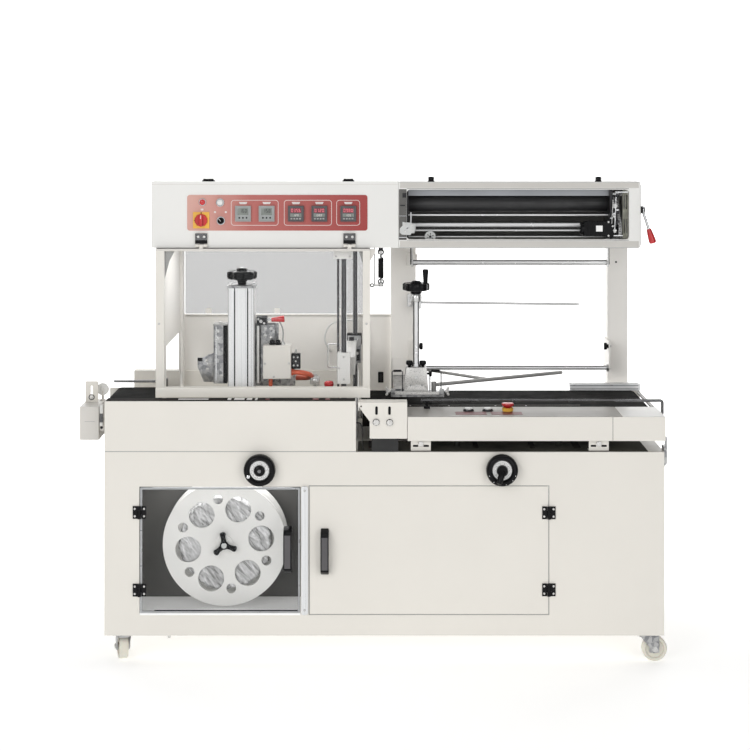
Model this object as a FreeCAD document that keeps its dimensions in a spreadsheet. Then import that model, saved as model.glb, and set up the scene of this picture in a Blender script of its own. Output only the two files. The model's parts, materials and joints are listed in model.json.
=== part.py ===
import FreeCAD, Part
import math
import os
import Sketcher
from FreeCAD import Placement, Rotation, Vector

# Side sealer, automatic film sealing machine.  Millimetres, +Z up, +X towards the
# infeed end, +Y away from the operator.  The floor is Z = 0 and the origin is the
# middle of the machine's footprint.  Lengths below are first laid out from the
# cabinet's front plane and the middle of the machine, then moved by (shift_x, shift_y).

doc = FreeCAD.newDocument("side_sealer")
sheet = doc.addObject("Spreadsheet::Sheet", "Sizes")
value_of = {}


def dim(alias, value):
    if alias in value_of:
        return alias
    row = len(value_of) + 1
    sheet.set("A%d" % row, alias)
    sheet.set("B%d" % row, "%.6g" % value)
    sheet.setAlias("B%d" % row, alias)
    value_of[alias] = float("%.6g" % value)
    return alias


# ---- driving dimensions ---------------------------------------------------------
for alias, value in [
        ("shift_x", 2.5), ("shift_y", -320.562),
        ("cab_left", -812), ("cab_right", 868), ("cab_deep", 700),
        ("cab_low", 88), ("cab_top", 639), ("cab_wall", 3),
        ("bay_left", -707), ("bay_right", -223), ("bay_low", 153), ("bay_high", 535),
        ("door_left", -196), ("door_right", 520), ("door_low", 153), ("door_high", 536),
        ("cover_top", 791), ("belt_thick", 2.5), ("roller_rad", 21.7),
        ("infeed_top", 745), ("outfeed_top", 748), ("lift_travel", 20),
        ("head_low", 1244), ("head_top", 1446), ("head_front", 100), ("head_back", 588),
        ("hood_left", -669), ("hood_right", -15), ("hood_low", 788), ("hood_high", 1242),
        ("reel_rad", 188), ("reel_x", -456), ("reel_z", 349), ("reel_hole_rad", 39),
        ("reel_hole_pitch", 112), ("reel_small_rad", 14.7), ("reel_small_pitch", 136),
        ("wheel_rad", 37.5), ("wheel_wide", 28), ("caster_trail", 24),
        ("handwheel_rad", 48), ("handwheel_z", 588), ("infeed_wheel_x", 380),
        ("outfeed_wheel_x", -345), ("shaft_rad", 8), ("bore_rad", 8.06)]:
    dim(alias, value)
D = value_of
SX, SY = D["shift_x"], D["shift_y"]
nodes = {}
made = 0


def bind(obj, prop, alias):
    obj.setExpression(prop, "Sizes." + alias)


def put(obj, x, y, z, rot=None):
    obj.Placement = Placement(Vector(x + SX, y + SY, z), rot or Rotation())


def unique(name):
    global made
    made += 1
    return "%s_%d" % (name, made)


def box(name, x0, x1, y0, y1, z0, z1):
    """A block between two corners, its three lengths held by the sheet."""
    o = doc.addObject("Part::Box", unique(name))
    for prop, tag, length in (("Length", "len", x1 - x0), ("Width", "wid", y1 - y0), ("Height", "hgt", z1 - z0)):
        bind(o, prop, dim("%s_%s" % (o.Name, tag), length))
    put(o, x0, y0, z0)
    return o


AXES = {"Z": Rotation(), "X": Rotation(Vector(0, 1, 0), 90), "Y": Rotation(Vector(1, 0, 0), -90)}


def cyl(name, rad, length, x, y, z, axis="Z"):
    """A round bar that starts at (x, y, z) and runs along +axis."""
    o = doc.addObject("Part::Cylinder", unique(name))
    if isinstance(rad, str):
        bind(o, "Radius", rad)
    else:
        bind(o, "Radius", dim("%s_rad" % o.Name, rad))
    bind(o, "Height", dim("%s_len" % o.Name, length))
    rot = AXES[axis] if isinstance(axis, str) else Rotation(Vector(0, 0, 1), Vector(*axis))
    put(o, x, y, z, rot)
    return o


def rod(name, rad, a, b):
    """A round bar from point a to point b."""
    v = Vector(*b) - Vector(*a)
    return cyl(name, rad, v.Length, a[0], a[1], a[2], (v.x, v.y, v.z))


def cone(name, r1, r2, length, x, y, z, axis="Z"):
    o = doc.addObject("Part::Cone", unique(name))
    bind(o, "Radius1", dim("%s_ra" % o.Name, r1))
    bind(o, "Radius2", dim("%s_rb" % o.Name, r2))
    bind(o, "Height", dim("%s_len" % o.Name, length))
    put(o, x, y, z, AXES[axis])
    return o


def ring(name, rad_in, rad_out, length, x, y, z, axis="Z"):
    return cut(name, cyl(name + "_o", rad_out, length, x, y, z, axis),
               [cyl(name + "_i", rad_in, length, x, y, z, axis)])


def fuse(name, shapes):
    o = doc.addObject("Part::MultiFuse", unique(name))
    o.Shapes = shapes
    return o


def cut(name, base, tools):
    if len(tools) > 1:
        tool = doc.addObject("Part::Compound", unique(name + "_tools"))
        tool.Links = tools
    else:
        tool = tools[0]
    o = doc.addObject("Part::Cut", unique(name))
    o.Base, o.Tool = base, tool
    return o


def node(name, *solids):
    """Names one sub-part.  Several separate solids of one kind are kept as a group."""
    if len(solids) == 1:
        o = solids[0]
    else:
        o = doc.addObject("Part::Compound", unique(name))
        o.Links = list(solids)
    o.Label = name
    nodes[name] = o
    return o


# ---- hoses and cables: straight runs joined by arcs --------------------------------
def hose_shape(points, rad):
    pts = [Vector(*p) for p in points]
    edges, start = [], pts[0]
    for i in range(1, len(pts) - 1):
        u, v = (pts[i - 1] - pts[i]), (pts[i + 1] - pts[i])
        lu, lv = u.Length, v.Length
        u.normalize()
        v.normalize()
        ang = math.pi - u.getAngle(v)
        keep = 0.45 * min(lu, lv)
        a, c = pts[i] + u * keep, pts[i] + v * keep
        bis = (u + v)
        bis.normalize()
        r = keep / math.tan(ang / 2)
        print("hose arc radius %.1f" % r)
        mid = pts[i] + bis * (r / math.cos(ang / 2) - r)
        edges.append(Part.LineSegment(start, a).toShape())
        edges.append(Part.Arc(a, mid, c).toShape())
        start = c
    edges.append(Part.LineSegment(start, pts[-1]).toShape())
    wire = Part.Wire(edges)
    d = (pts[1] - pts[0])
    prof = Part.Wire([Part.Circle(pts[0], d, rad).toShape()])
    sh = wire.makePipeShell([prof], True, False)
    print("hose volume", round(sh.Volume), "expected", round(wire.Length * math.pi * rad * rad))
    return sh


def cord(name, points, alias):
    o = doc.addObject("Part::Feature", unique(name))
    o.Shape = hose_shape(points, D[alias])
    o.Placement = Placement(Vector(SX, SY, 0), Rotation())
    return o


dim("hose_rad", 8)
dim("cable_rad", 2)
dim("thin_cable_rad", 1.5)
dim("tube_rad", 3)


# ---- sketch based bodies ---------------------------------------------------------
def body(name):
    return doc.addObject("PartDesign::Body", name)


def origin_plane(b, role):
    for f in b.Origin.OriginFeatures:
        if f.Role == role:
            return f


def sketch(b, name, lift=0.0):
    s = b.newObject("Sketcher::SketchObject", name)
    s.AttachmentSupport = [(origin_plane(b, "XY_Plane"), "")]
    s.MapMode = "FlatFace"
    s.AttachmentOffset = Placement(Vector(0, 0, lift), Rotation())
    return s


def circle(s, cx, cy, alias):
    g = s.addGeometry(Part.Circle(Vector(cx, cy, 0), Vector(0, 0, 1), D[alias]), False)
    c = s.addConstraint(Sketcher.Constraint("Radius", g, D[alias]))
    s.setExpression("Constraints[%d]" % c, "Sizes." + alias)
    return g


def polygon(s, pts):
    for i, p in enumerate(pts):
        q = pts[(i + 1) % len(pts)]
        s.addGeometry(Part.LineSegment(Vector(p[0], p[1], 0), Vector(q[0], q[1], 0)), False)


def slot_outline(s, cx, cy, length, rad, upright=False):
    """An obround: two straight sides and two half circles."""
    k = length / 2 - rad
    if upright:
        s.addGeometry(Part.LineSegment(Vector(cx - rad, cy - k, 0), Vector(cx - rad, cy + k, 0)), False)
        s.addGeometry(Part.LineSegment(Vector(cx + rad, cy - k, 0), Vector(cx + rad, cy + k, 0)), False)
        a = Part.Arc(Vector(cx - rad, cy + k, 0), Vector(cx, cy + k + rad, 0), Vector(cx + rad, cy + k, 0))
        b = Part.Arc(Vector(cx - rad, cy - k, 0), Vector(cx, cy - k - rad, 0), Vector(cx + rad, cy - k, 0))
    else:
        s.addGeometry(Part.LineSegment(Vector(cx - k, cy - rad, 0), Vector(cx + k, cy - rad, 0)), False)
        s.addGeometry(Part.LineSegment(Vector(cx - k, cy + rad, 0), Vector(cx + k, cy + rad, 0)), False)
        a = Part.Arc(Vector(cx + k, cy - rad, 0), Vector(cx + k + rad, cy, 0), Vector(cx + k, cy + rad, 0))
        b = Part.Arc(Vector(cx - k, cy - rad, 0), Vector(cx - k - rad, cy, 0), Vector(cx - k, cy + rad, 0))
    s.addGeometry(a, False)
    s.addGeometry(b, False)


def round_rect(s, x0, x1, y0, y1, r):
    L, A = Part.LineSegment, Part.Arc
    k = r * (1 - math.sqrt(0.5))
    P = lambda x, y: Vector(x, y, 0)
    for g in (L(P(x0 + r, y0), P(x1 - r, y0)), A(P(x1 - r, y0), P(x1 - k, y0 + k), P(x1, y0 + r)),
              L(P(x1, y0 + r), P(x1, y1 - r)), A(P(x1, y1 - r), P(x1 - k, y1 - k), P(x1 - r, y1)),
              L(P(x1 - r, y1), P(x0 + r, y1)), A(P(x0 + r, y1), P(x0 + k, y1 - k), P(x0, y1 - r)),
              L(P(x0, y1 - r), P(x0, y0 + r)), A(P(x0, y0 + r), P(x0 + k, y0 + k), P(x0 + r, y0))):
        s.addGeometry(g, False)


def pad(b, s, name, alias):
    f = b.newObject("PartDesign::Pad", name)
    f.Profile = s
    bind(f, "Length", alias)
    b.Tip = f
    return f


def pocket(b, s, name, alias):
    """Cuts upwards from the sketch plane, through the pad that lies above it."""
    f = b.newObject("PartDesign::Pocket", name)
    f.Profile = s
    f.Reversed = True
    bind(f, "Length", alias)
    b.Tip = f
    return f


def revolve(b, name, pts):
    """A turned piece: (radius, height) points, spun about the local Y axis."""
    s = sketch(b, name + "_profile")
    polygon(s, pts)
    f = b.newObject("PartDesign::Revolution", name)
    f.Profile = s
    f.ReferenceAxis = (s, ["V_Axis"])
    f.Angle = 360.0
    b.Tip = f
    return f


FACE_FRONT = Rotation(Vector(1, 0, 0), 90)      # local X, Y, Z -> X, Z, -Y
TURN_UP = Rotation(Vector(1, 0, 0), 90)         # turned about local Y -> about Z
TURN_FRONT = Rotation(Vector(0, 0, 1), 180)     # turned about local Y -> about -Y
TURN_RIGHT = Rotation(Vector(0, 0, 1), -90)     # turned about local Y -> about X


def plate_body(name, y_back, thick_alias, outline, cuts=None):
    """A front facing plate: outline(sketch) is padded from y_back towards the operator."""
    b = body(name + "_body")
    s = sketch(b, name + "_outline")
    outline(s)
    pad(b, s, name + "_pad", thick_alias)
    if cuts:
        c = sketch(b, name + "_cuts")
        cuts(c)
        pocket(b, c, name + "_pocket", thick_alias)
    put(b, 0, y_back, 0, FACE_FRONT)
    return b


# ---- cabinet ----------------------------------------------------------------------
CL, CR, CD = D["cab_left"], D["cab_right"], D["cab_deep"]
CB, CT, W = D["cab_low"], D["cab_top"], D["cab_wall"]
shell = box("cab_outer", CL, CR, 0, CD, CB, CT)
tools = [box("cab_inner", CL + W, CR - W, W, CD - W, CB + W, CT - W),
         box("cab_bay", D["bay_left"], D["bay_right"], -1, W + 1, D["bay_low"], D["bay_high"]),
         box("cab_door", D["door_left"] - 3, D["door_right"] + 3, -1, W + 1, D["door_low"] - 3, D["door_high"] + 3),
         box("cab_rear", -690, 740, CD - W - 1, CD + 1, 160, 580),
         cyl("cab_shaft_r", "bore_rad", W + 2, D["infeed_wheel_x"], -1, D["handwheel_z"], "Y"),
         cyl("cab_shaft_l", "bore_rad", W + 2, D["outfeed_wheel_x"], -1, D["handwheel_z"], "Y"),
         cyl("cab_screw_r", 14, 8, D["infeed_wheel_x"], 350, CT - 5),
         cyl("cab_screw_l", 14, 8, D["outfeed_wheel_x"], 390, CT - 5)]
node("cabinet_shell", cut("cabinet_shell", shell, tools))

liner = box("liner_outer", -745, -212, 4, 196, 146, 560)
node("reel_bay_liner", cut("reel_bay_liner", liner, [
    box("liner_inner", -743, -214, 0, 194, 150, 558),
    cyl("liner_bore", 14, 20, D["reel_x"], 185, D["reel_z"], "Y")]))

dim("mullion_thick", 8)
mullion = plate_body("mullion", 0, "mullion_thick", lambda s: round_rect(s, -221, -200.5, 152, 537, 6))

rear = box("rear_plate", -700, 750, CD, CD + 3, 150, 590)
slots = [box("louvre", x, x + 120, CD - 1, CD + 4, z, z + 8) for x in (-600, 530) for z in range(360, 520, 26)]
front_cover = cut("cover_front", box("cover_front", CL, -57, 0, 60, CT, D["cover_top"]),
                  [box("cover_front_in", CL + W, -60, W, 57, CT - 1, D["cover_top"] - W)])
rear_cover = cut("cover_rear", box("cover_rear", CL, -57, 655, CD, CT, D["cover_top"]),
                 [box("cover_rear_in", CL + W, -60, 658, CD - W, CT - 1, D["cover_top"] - W)])
node("side_covers", front_cover, rear_cover, cut("rear_panel", rear, slots))

# slotted junction plate, its backing block and the two slotted feet under the infeed
dim("junction_thick", 3)


def junction_cuts(s):
    slot_outline(s, 4.5, 763, 26, 4, True)
    slot_outline(s, 43.5, 763, 26, 4, True)
    for x, z in ((-42, 775.8),):
        circle(s, x, z, dim("junction_hole_rad", 2.6))


junction = plate_body("junction", 3, "junction_thick",
                      lambda s: polygon(s, [(-51, 787), (96.5, 787), (96.5, 679), (-16, 679), (-16, 730.5), (-51, 777)]),
                      junction_cuts)
junction_back = box("junction_back", -10, 70, 3, 60, CT, 745)
junction_top = box("junction_top", -51, 96.5, 3, 62, 784, 787)
feet = []
for k, x in enumerate((138, 673)):
    foot = fuse("foot", [box("foot_up", x - 30, x + 30, 12, 15, CT, 700), box("foot_base", x - 30, x + 30, 15, 45, CT, CT + 3)])
    feet.append(cut("foot", foot, [box("foot_slot", x - 24, x - 8, 10, 17, 652, 658), box("foot_slot", x + 8, x + 24, 10, 17, 652, 658)]))
bolts = [cyl("bolt", 8, 5, x, -5, z, "Y") for x, z in ((3.6, 728.4), (44, 727.5))]
bolts += [cyl("bolt", 7, 4, x, 8, 662, "Y") for x in (138, 673)]
photocell_cable = cord("photocell_cable", [(-57, 26, 722), (-44, 26, 722), (-36, 22, 700), (-40, 22, 664), (-33.1, 22, 639.5)], "thin_cable_rad")
node("front_brackets", mullion, junction, junction_back, junction_top, photocell_cable, *(feet + bolts))

# lift: posts on the cabinet top, boxes below that take the handwheel shafts
posts = [(250, 90), (560, 90), (250, 545), (560, 545), (-700, 185), (-200, 185), (-700, 600), (-200, 600)]
node("lift_posts", *[cyl("lift_post", 10, 716 - CT, x, y, CT) for x, y in posts])
boxes = []
for x, y in ((D["infeed_wheel_x"], 350), (D["outfeed_wheel_x"], 390)):
    g = fuse("gearbox", [box("gearbox", x - 32, x + 32, y - 36, y + 30, 558, 618), box("gearbox_neck", x - 20, x + 20, y - 20, y + 20, 618, CT - W)])
    boxes.append(cut("gearbox", g, [cyl("gearbox_in", "bore_rad", 20, x, y - 37, D["handwheel_z"], "Y"),
                                    cyl("gearbox_up", 8.5, 120, x, y, 540)]))
motor = cut("reel_motor", fuse("reel_motor", [cyl("reel_motor", 45, 110, D["reel_x"], 230, D["reel_z"], "Y"),
                                              box("reel_motor_box", D["reel_x"] - 40, D["reel_x"] + 40, 196, 240, D["reel_z"] - 40, D["reel_z"] + 40)]),
            [cyl("reel_motor_bore", 12.06, 45, D["reel_x"], 195, D["reel_z"], "Y")])
drives = [motor] + boxes


# ---- hinges -----------------------------------------------------------------------
def upright_hinge(x, y, z, side, fixed_y, moving_y):
    """One pair of leaves; side is +1 where the moving leaf lies towards +X."""
    def leaf(x_near, x_far, z0, z1, y0):
        a, b = sorted((x + side * x_near, x + side * x_far))
        return box("leaf", a, b, y0 - 3, y0, z0, z1)
    base = fuse("hinge_base", [leaf(-20, -5.6, z - 19, z + 19, fixed_y), leaf(-20, 0, z - 19, z - 7, fixed_y), leaf(-20, 0, z + 7, z + 19, fixed_y),
                               cyl("knuckle", 5, 12, x, y, z - 19), cyl("knuckle", 5, 12, x, y, z + 7), cyl("hinge_pin", 2.5, 38, x, y, z - 19)])
    move = cut("hinge_leaf", fuse("hinge_leaf", [leaf(5.6, 20, z - 19, z + 19, moving_y), leaf(0, 20, z - 6.5, z + 6.5, moving_y), cyl("knuckle", 5, 13, x, y, z - 6.5)]),
               [cyl("hinge_bore", 2.56, 20, x, y, z - 10)])
    return base, move


hinge_bases, window_leaves, door_leaves = [], [], []
WX, DX = D["bay_left"] + 0.5, D["door_right"] + 1.5
for z in (458, 225):
    b, m = upright_hinge(WX, -5, z, +1, 0, 0)
    hinge_bases.append(b)
    window_leaves.append(m)
for z in (457, 226):
    b, m = upright_hinge(DX, -5, z, -1, 0, 0)
    hinge_bases.append(b)
    door_leaves.append(m)
hood_leaves = []
HY, HZ = 91.0, 1251.0
for x in (-530.5, -78):
    base = fuse("hood_base", [box("hood_leaf", x - 18, x + 18, 96, 100, 1257.5, 1287), box("hood_leaf", x - 18, x - 7, 93, 100, HZ - 2, 1287),
                              box("hood_leaf", x + 7, x + 18, 93, 100, HZ - 2, 1287), cyl("knuckle", 4.5, 11, x - 18, HY, HZ, "X"),
                              cyl("knuckle", 4.5, 11, x + 7, HY, HZ, "X"), cyl("hinge_pin", 2.2, 36, x - 18, HY, HZ, "X")])
    hinge_bases.append(base)
    hood_leaves.append(cut("hood_leaf", fuse("hood_leaf", [cyl("knuckle", 4.5, 13, x - 6.5, HY, HZ, "X"), box("hood_neck", x - 6.5, x + 6.5, 88.6, 92.4, D["hood_high"], HZ)]),
                           [cyl("hinge_bore", 2.26, 20, x - 10, HY, HZ, "X")]))
node("hinge_bases", *hinge_bases)

# ---- doors ------------------------------------------------------------------------
dim("pane_thick", 6)


def pane_cuts(s):
    for z in (432, 276):
        circle(s, -261.5, z, dim("pane_hole_rad", 3))


pane = plate_body("pane", 6, "pane_thick", lambda s: round_rect(s, D["bay_left"] + 3, D["bay_right"] - 3, D["bay_low"] + 3, D["bay_high"] - 3, 3), pane_cuts)
node("window_pane", pane)


def bar_handle(x0, x1, z0, z1, y0):
    """A bar with two feet; y0 is the face it is screwed to."""
    return fuse("handle", [box("handle_bar", x0, x1, y0 - 34, y0 - 22, z0, z1), box("handle_foot", x0, x1, y0 - 22, y0, z0, z0 + 22),
                           box("handle_foot", x0, x1, y0 - 22, y0, z1 - 22, z1)])


node("window_fittings", bar_handle(-274, -249, 276, 417, 0), *window_leaves)
door = cut("panel_door", box("door_skin", D["door_left"], D["door_right"], 0, 18, D["door_low"], D["door_high"]),
           [box("door_inner", D["door_left"] + 2, D["door_right"] - 2, 2, 20, D["door_low"] + 2, D["door_high"] - 2)])
node("panel_door", door)
node("panel_door_fittings", bar_handle(-163, -138, 271, 410, 0), *door_leaves)

# ---- waste film reel ----------------------------------------------------------------
dim("reel_thick", 6)
dim("reel_hub_rad", 30)
reel = body("reel_body")
s = sketch(reel, "reel_outline")
circle(s, 0, 0, "reel_rad")
pad(reel, s, "reel_pad", "reel_thick")
s = sketch(reel, "reel_hole")
a = math.radians(8.5)
circle(s, D["reel_hole_pitch"] * math.cos(a), D["reel_hole_pitch"] * math.sin(a), "reel_hole_rad")
p1 = pocket(reel, s, "reel_pocket", "reel_thick")
s = sketch(reel, "reel_small_hole")
a = math.radians(38.5)
circle(s, D["reel_small_pitch"] * math.cos(a), D["reel_small_pitch"] * math.sin(a), "reel_small_rad")
p2 = pocket(reel, s, "reel_small_pocket", "reel_thick")
pat = reel.newObject("PartDesign::PolarPattern", "reel_pattern")
pat.Originals = [p1, p2]
pat.Axis = (next(f for f in reel.Origin.OriginFeatures if f.Role == "Z_Axis"), [""])
pat.Angle = 360.0
pat.Occurrences = 6
reel.Tip = pat
put(reel, D["reel_x"], 64, D["reel_z"], FACE_FRONT)
RX, RZ = D["reel_x"], D["reel_z"]
back_disc = cyl("reel_back", 188, 4, RX, 150, RZ, "Y")
core = cyl("reel_core", 40, 86, RX, 64, RZ, "Y")
reel_shaft = cyl("reel_shaft", 12, 84, RX, 154, RZ, "Y")
arms = [rod("knob_arm", 5, (RX, 48, RZ), (RX + 36 * math.cos(math.radians(t)), 48, RZ + 36 * math.sin(math.radians(t)))) for t in (98, 222, -19)]
knob = fuse("reel_knob", arms + [cyl("knob_hub", 14, 22, RX, 36, RZ, "Y")])
node("waste_reel", reel, core, back_disc, reel_shaft, knob)
node("waste_film", ring("waste_film", 40.4, 118, 82, RX, 66, RZ, "Y"))


# ---- handwheels that raise the conveyors ----------------------------------------------
def handwheel(name, x, y_end):
    """Turned wheel in front of the cabinet; local height grows towards the operator."""
    R = D["handwheel_rad"]
    b = body(name + "_body")
    revolve(b, name, [(0, 8), (20, 8), (24, 14), (36, 18), (R - 4, 16), (R, 22), (R, 32), (R - 4, 38), (R - 10, 38), (R - 14, 30), (28, 26), (22, 30), (20, 38), (0, 38)])
    put(b, x, 0, D["handwheel_z"], TURN_FRONT)
    shaft = cyl(name + "_shaft", "shaft_rad", y_end + 8, x, -8, D["handwheel_z"], "Y")
    return b, shaft


w, sh = handwheel("infeed_wheel", D["infeed_wheel_x"], 330)
grip = rod("fold_grip", 8, (D["infeed_wheel_x"] - 22, -44, D["handwheel_z"] - 22), (D["infeed_wheel_x"] - 36, -66, D["handwheel_z"] - 36))
grip_foot = cyl("fold_foot", 6, 8, D["infeed_wheel_x"] - 22, -46, D["handwheel_z"] - 22, "Y")
node("infeed_handwheel", w, sh, fuse("fold_handle", [grip, grip_foot]))
w, sh = handwheel("outfeed_wheel", D["outfeed_wheel_x"], 370)
node("outfeed_handwheel", w, sh)


# ---- conveyors ----------------------------------------------------------------------------
def belt(name, x0, x1, y0, y1, top):
    """A closed band round two ends of radius roller + running gap."""
    r = 22.0
    t = D["belt_thick"]
    zc = top - r - t
    def loop(rad, tag):
        return fuse(name + tag, [cyl(name, rad, y1 - y0, x0 + r + t, y0, zc, "Y"), cyl(name, rad, y1 - y0, x1 - r - t, y0, zc, "Y"),
                                 box(name, x0 + r + t, x1 - r - t, y0, y1, zc - rad, zc + rad)])
    return cut(name, loop(r + t, "_out"), [loop(r, "_in")]), zc


IB, IZ = belt("infeed_belt", -45, 862, 186, 516, D["infeed_top"])
node("infeed_belt", IB)
front = cut("infeed_front", box("infeed_box", 98, 872, 0, 182, 672, 744),
            [box("infeed_hollow", 101, 869, 3, 179, 671, 741)])
side_a = box("infeed_side", -40, 98, 179, 182, 684, 744)
side_b = box("infeed_side", -40, 872, 520, 523, 684, 744)
beams = [box("infeed_beam", x0, x1, 182, 520, 676, 690) for x0, x1 in ((60, 100), (350, 410), (700, 740))]
bed = box("infeed_bed", 10, 808, 182, 520, 739, 742.2)
plates = [box("infeed_guide", x - 25, x + 25, 3, 179, 680, 690) for x in (250, 560)]
plates_b = [box("infeed_guide", x - 25, x + 25, 523, 565, 684, 694) for x in (250, 560)]
frame = fuse("infeed_frame", [front, side_a, side_b, bed] + beams + plates + plates_b)
holes = [cyl("infeed_bore", 10.06, 30, x, y, 670) for x, y in posts[:4]]
holes += [cyl("infeed_axle_bore", 10.06, 400, 837.5 - 0.0, 150, IZ, "Y"), cyl("screw_seat", 7.9, 10, D["infeed_wheel_x"], 350, 670)]
holes += [cyl("button_hole", 5, 12, 286, 104, 737), cyl("button_hole", 5, 12, 345, 104, 737), cyl("stop_hole", 7.5, 12, 406, 104, 737)]
frame = cut("infeed_frame", frame, holes)
nose = cut("infeed_nose", cyl("infeed_nose", 21.6, 330, -45 + 24.5, 186, IZ, "Y"), [cyl("infeed_nose_bore", 18.6, 332, -45 + 24.5, 185, IZ, "Y")])
screw = cyl("infeed_screw", 7.9, 180, D["infeed_wheel_x"], 350, 500)
node("infeed_frame", frame, nose, screw)
node("infeed_drive_roller", fuse("infeed_roller", [cyl("infeed_roller", "roller_rad", 326, 837.5, 188, IZ, "Y"), cyl("infeed_journal", 10, 344, 837.5, 177, IZ, "Y")]))

OB, OZ = belt("outfeed_belt", -862, -121, 216, 564, D["outfeed_top"])
node("outfeed_belt", OB)
sides = [box("outfeed_side", -880, -126, 207, 212, 684, 746), box("outfeed_side", -880, -126, 568, 573, 684, 746)]
beams = [box("outfeed_beam", x0, x1, 212, 568, 678, 690) for x0, x1 in ((-780, -740), (-375, -315), (-210, -170))]
plates = [box("outfeed_guide", x - 25, x + 25, 160, 207, 684, 694) for x in (-700, -200)]
plates_b = [box("outfeed_guide", x - 25, x + 25, 573, 625, 684, 694) for x in (-700, -200)]
bed = box("outfeed_bed", -808, -172, 212, 568, 742, 745.2)
frame = fuse("outfeed_frame", sides + beams + plates + plates_b + [bed])
holes = [cyl("outfeed_bore", 10.06, 30, x, y, 670) for x, y in posts[4:]]
holes += [cyl("outfeed_axle_bore", 10.06, 420, -837.5, 180, OZ, "Y"), cyl("screw_seat", 7.9, 8, D["outfeed_wheel_x"], 390, 670)]
frame = cut("outfeed_frame", frame, holes)
nose = cut("outfeed_nose", cyl("outfeed_nose", 21.6, 348, -145.5, 216, OZ, "Y"), [cyl("outfeed_nose_bore", 18.6, 350, -145.5, 215, OZ, "Y")])
screw = cyl("outfeed_screw", 7.9, 178, D["outfeed_wheel_x"], 390, 500)
end_box = cut("outfeed_end", box("outfeed_end", -896, -838, 60, 207, 664, 765), [box("outfeed_end_in", -894, -840, 62, 208, 666, 763)])
end_plate = cut("outfeed_bracket", box("outfeed_bracket", -893, -854, 150, 153, 765, 829), [box("outfeed_bracket_slot", -877, -871, 149, 154, 784, 815)])
guide_rod = fuse("outfeed_guide_rod", [rod("outfeed_rod", 4, (-869, 582, 765), (-716, 582, 765)), box("outfeed_rod_block", -716, -690, 573, 592, 741, 775)])
node("outfeed_frame", frame, nose, screw, end_box, end_plate, guide_rod)
node("outfeed_drive_roller", fuse("outfeed_roller", [cyl("outfeed_roller", "roller_rad", 344, -837.5, 218, OZ, "Y"), cyl("outfeed_journal", 10, 361, -837.5, 209.5, OZ, "Y")]))

# guide rail over the infeed, product guide bar, control strip, bezels
rail = fuse("guide_rail", [rod("rail", 4.5, (144, 150, 770), (880, 150, 770)), rod("rail_drop", 4.5, (886.5, 150, 763), (886.5, 150, 722)),
                           rod("rail_knee", 4.5, (880, 150, 770), (886.5, 150, 763)), rod("rail_foot", 4.5, (886.5, 150, 722), (872, 150, 722)),
                           cyl("rail_post", 5, 26, 160, 150, 744), cyl("rail_post", 5, 26, 600, 150, 744)])
bar = box("guide_profile", 642, 868, 517, 557, 744, 765.5)
bar_end = box("guide_profile_end", 868, 874, 517, 557, 744, 765.5)
strip = box("control_strip", 246, 442, 26, 84, 744, 745.2)
bezels = [ring("bezel", 9.5, 14, 4, x, y, 744) for x, y in ((286, 104), (345, 104))]
stop_base = cut("stop_base", cyl("stop_base", 20, 12, 406, 104, 744), [cyl("stop_bore", 7.5, 16, 406, 104, 742)])
node("infeed_guides", rail, bar, bar_end, strip, stop_base, *bezels)
for name, x in (("start_button", 286), ("stop_button", 345)):
    node(name, fuse(name, [cyl(name, 9, 7, x, 104, 748.5), cyl(name + "_stem", 4, 13, x, 104, 736)]))
node("emergency_stop", fuse("emergency_stop", [cyl("stop_stem", 7, 17, 406, 104, 745), cone("stop_head", 17, 20, 4, 406, 104, 760.5), cyl("stop_head", 20, 6, 406, 104, 764.5)]))

# ---- head: posts, boxes, enclosure ---------------------------------------------------------
HL, HT, HF, HB = D["head_low"], D["head_top"], D["head_front"], D["head_back"]


def tube(name, x0, x1, y0, y1, z0, z1, t):
    return cut(name, box(name, x0, x1, y0, y1, z0, z1), [box(name + "_in", x0 + t, x1 - t, y0 + t, y1 - t, z0 - 1, z1 + 1)])


post_l = tube("post_left", 53, 136, 590, 650, CT, 1440, 3)
post_r = tube("post_right", 775, 842, 590, 650, CT, 1440, 3)
post_e = tube("post_end", -650, -641, 590, 650, CT, 1440, 2)
back = fuse("back_wall", [box("back_wall", -650, 54, 657, 660, 791, 981), box("back_wall_low", -56, 54, 657, 660, CT, 791)])
end_wall = body("end_wall_body")
dim("end_wall_thick", 3)
s = sketch(end_wall, "end_wall_outline")
polygon(s, [(116, 640), (204, 640), (204, 930), (576, 930), (576, 791), (656, 791), (656, 1240), (116, 1240)])
pad(end_wall, s, "end_wall_pad", "end_wall_thick")
end_wall.Placement = Placement(Vector(-653 + SX, SY, 0), Rotation(Vector(1, 1, 1), 120))
node("head_posts", post_l, post_r, post_e, back, end_wall)
node("rear_pane", box("rear_pane", -640, -24, 656.8, 659.8, 982, 1300))

cbox = cut("control_box", box("control_outer", -684, 71, HF, HB, HL, HT + 1),
           [box("control_inner", -682, 69, HF + 2, HB - 2, HL + 2, HT - 1),
            cyl("hole_button", 5.6, 6, -473, HF - 1, 1383, "Y"), cyl("hole_switch", 5.6, 6, -531, HF - 1, 1329, "Y"),
            cyl("hole_selector", 5.6, 6, -471, HF - 1, 1327.5, "Y")])
node("control_box", cbox)
dim("fascia_thick", 1.5)


def fascia_cuts(s):
    for x, z in ((-473, 1383), (-531, 1329), (-471, 1327.5)):
        circle(s, x, z, dim("fascia_hole_rad", 5.6))


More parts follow.
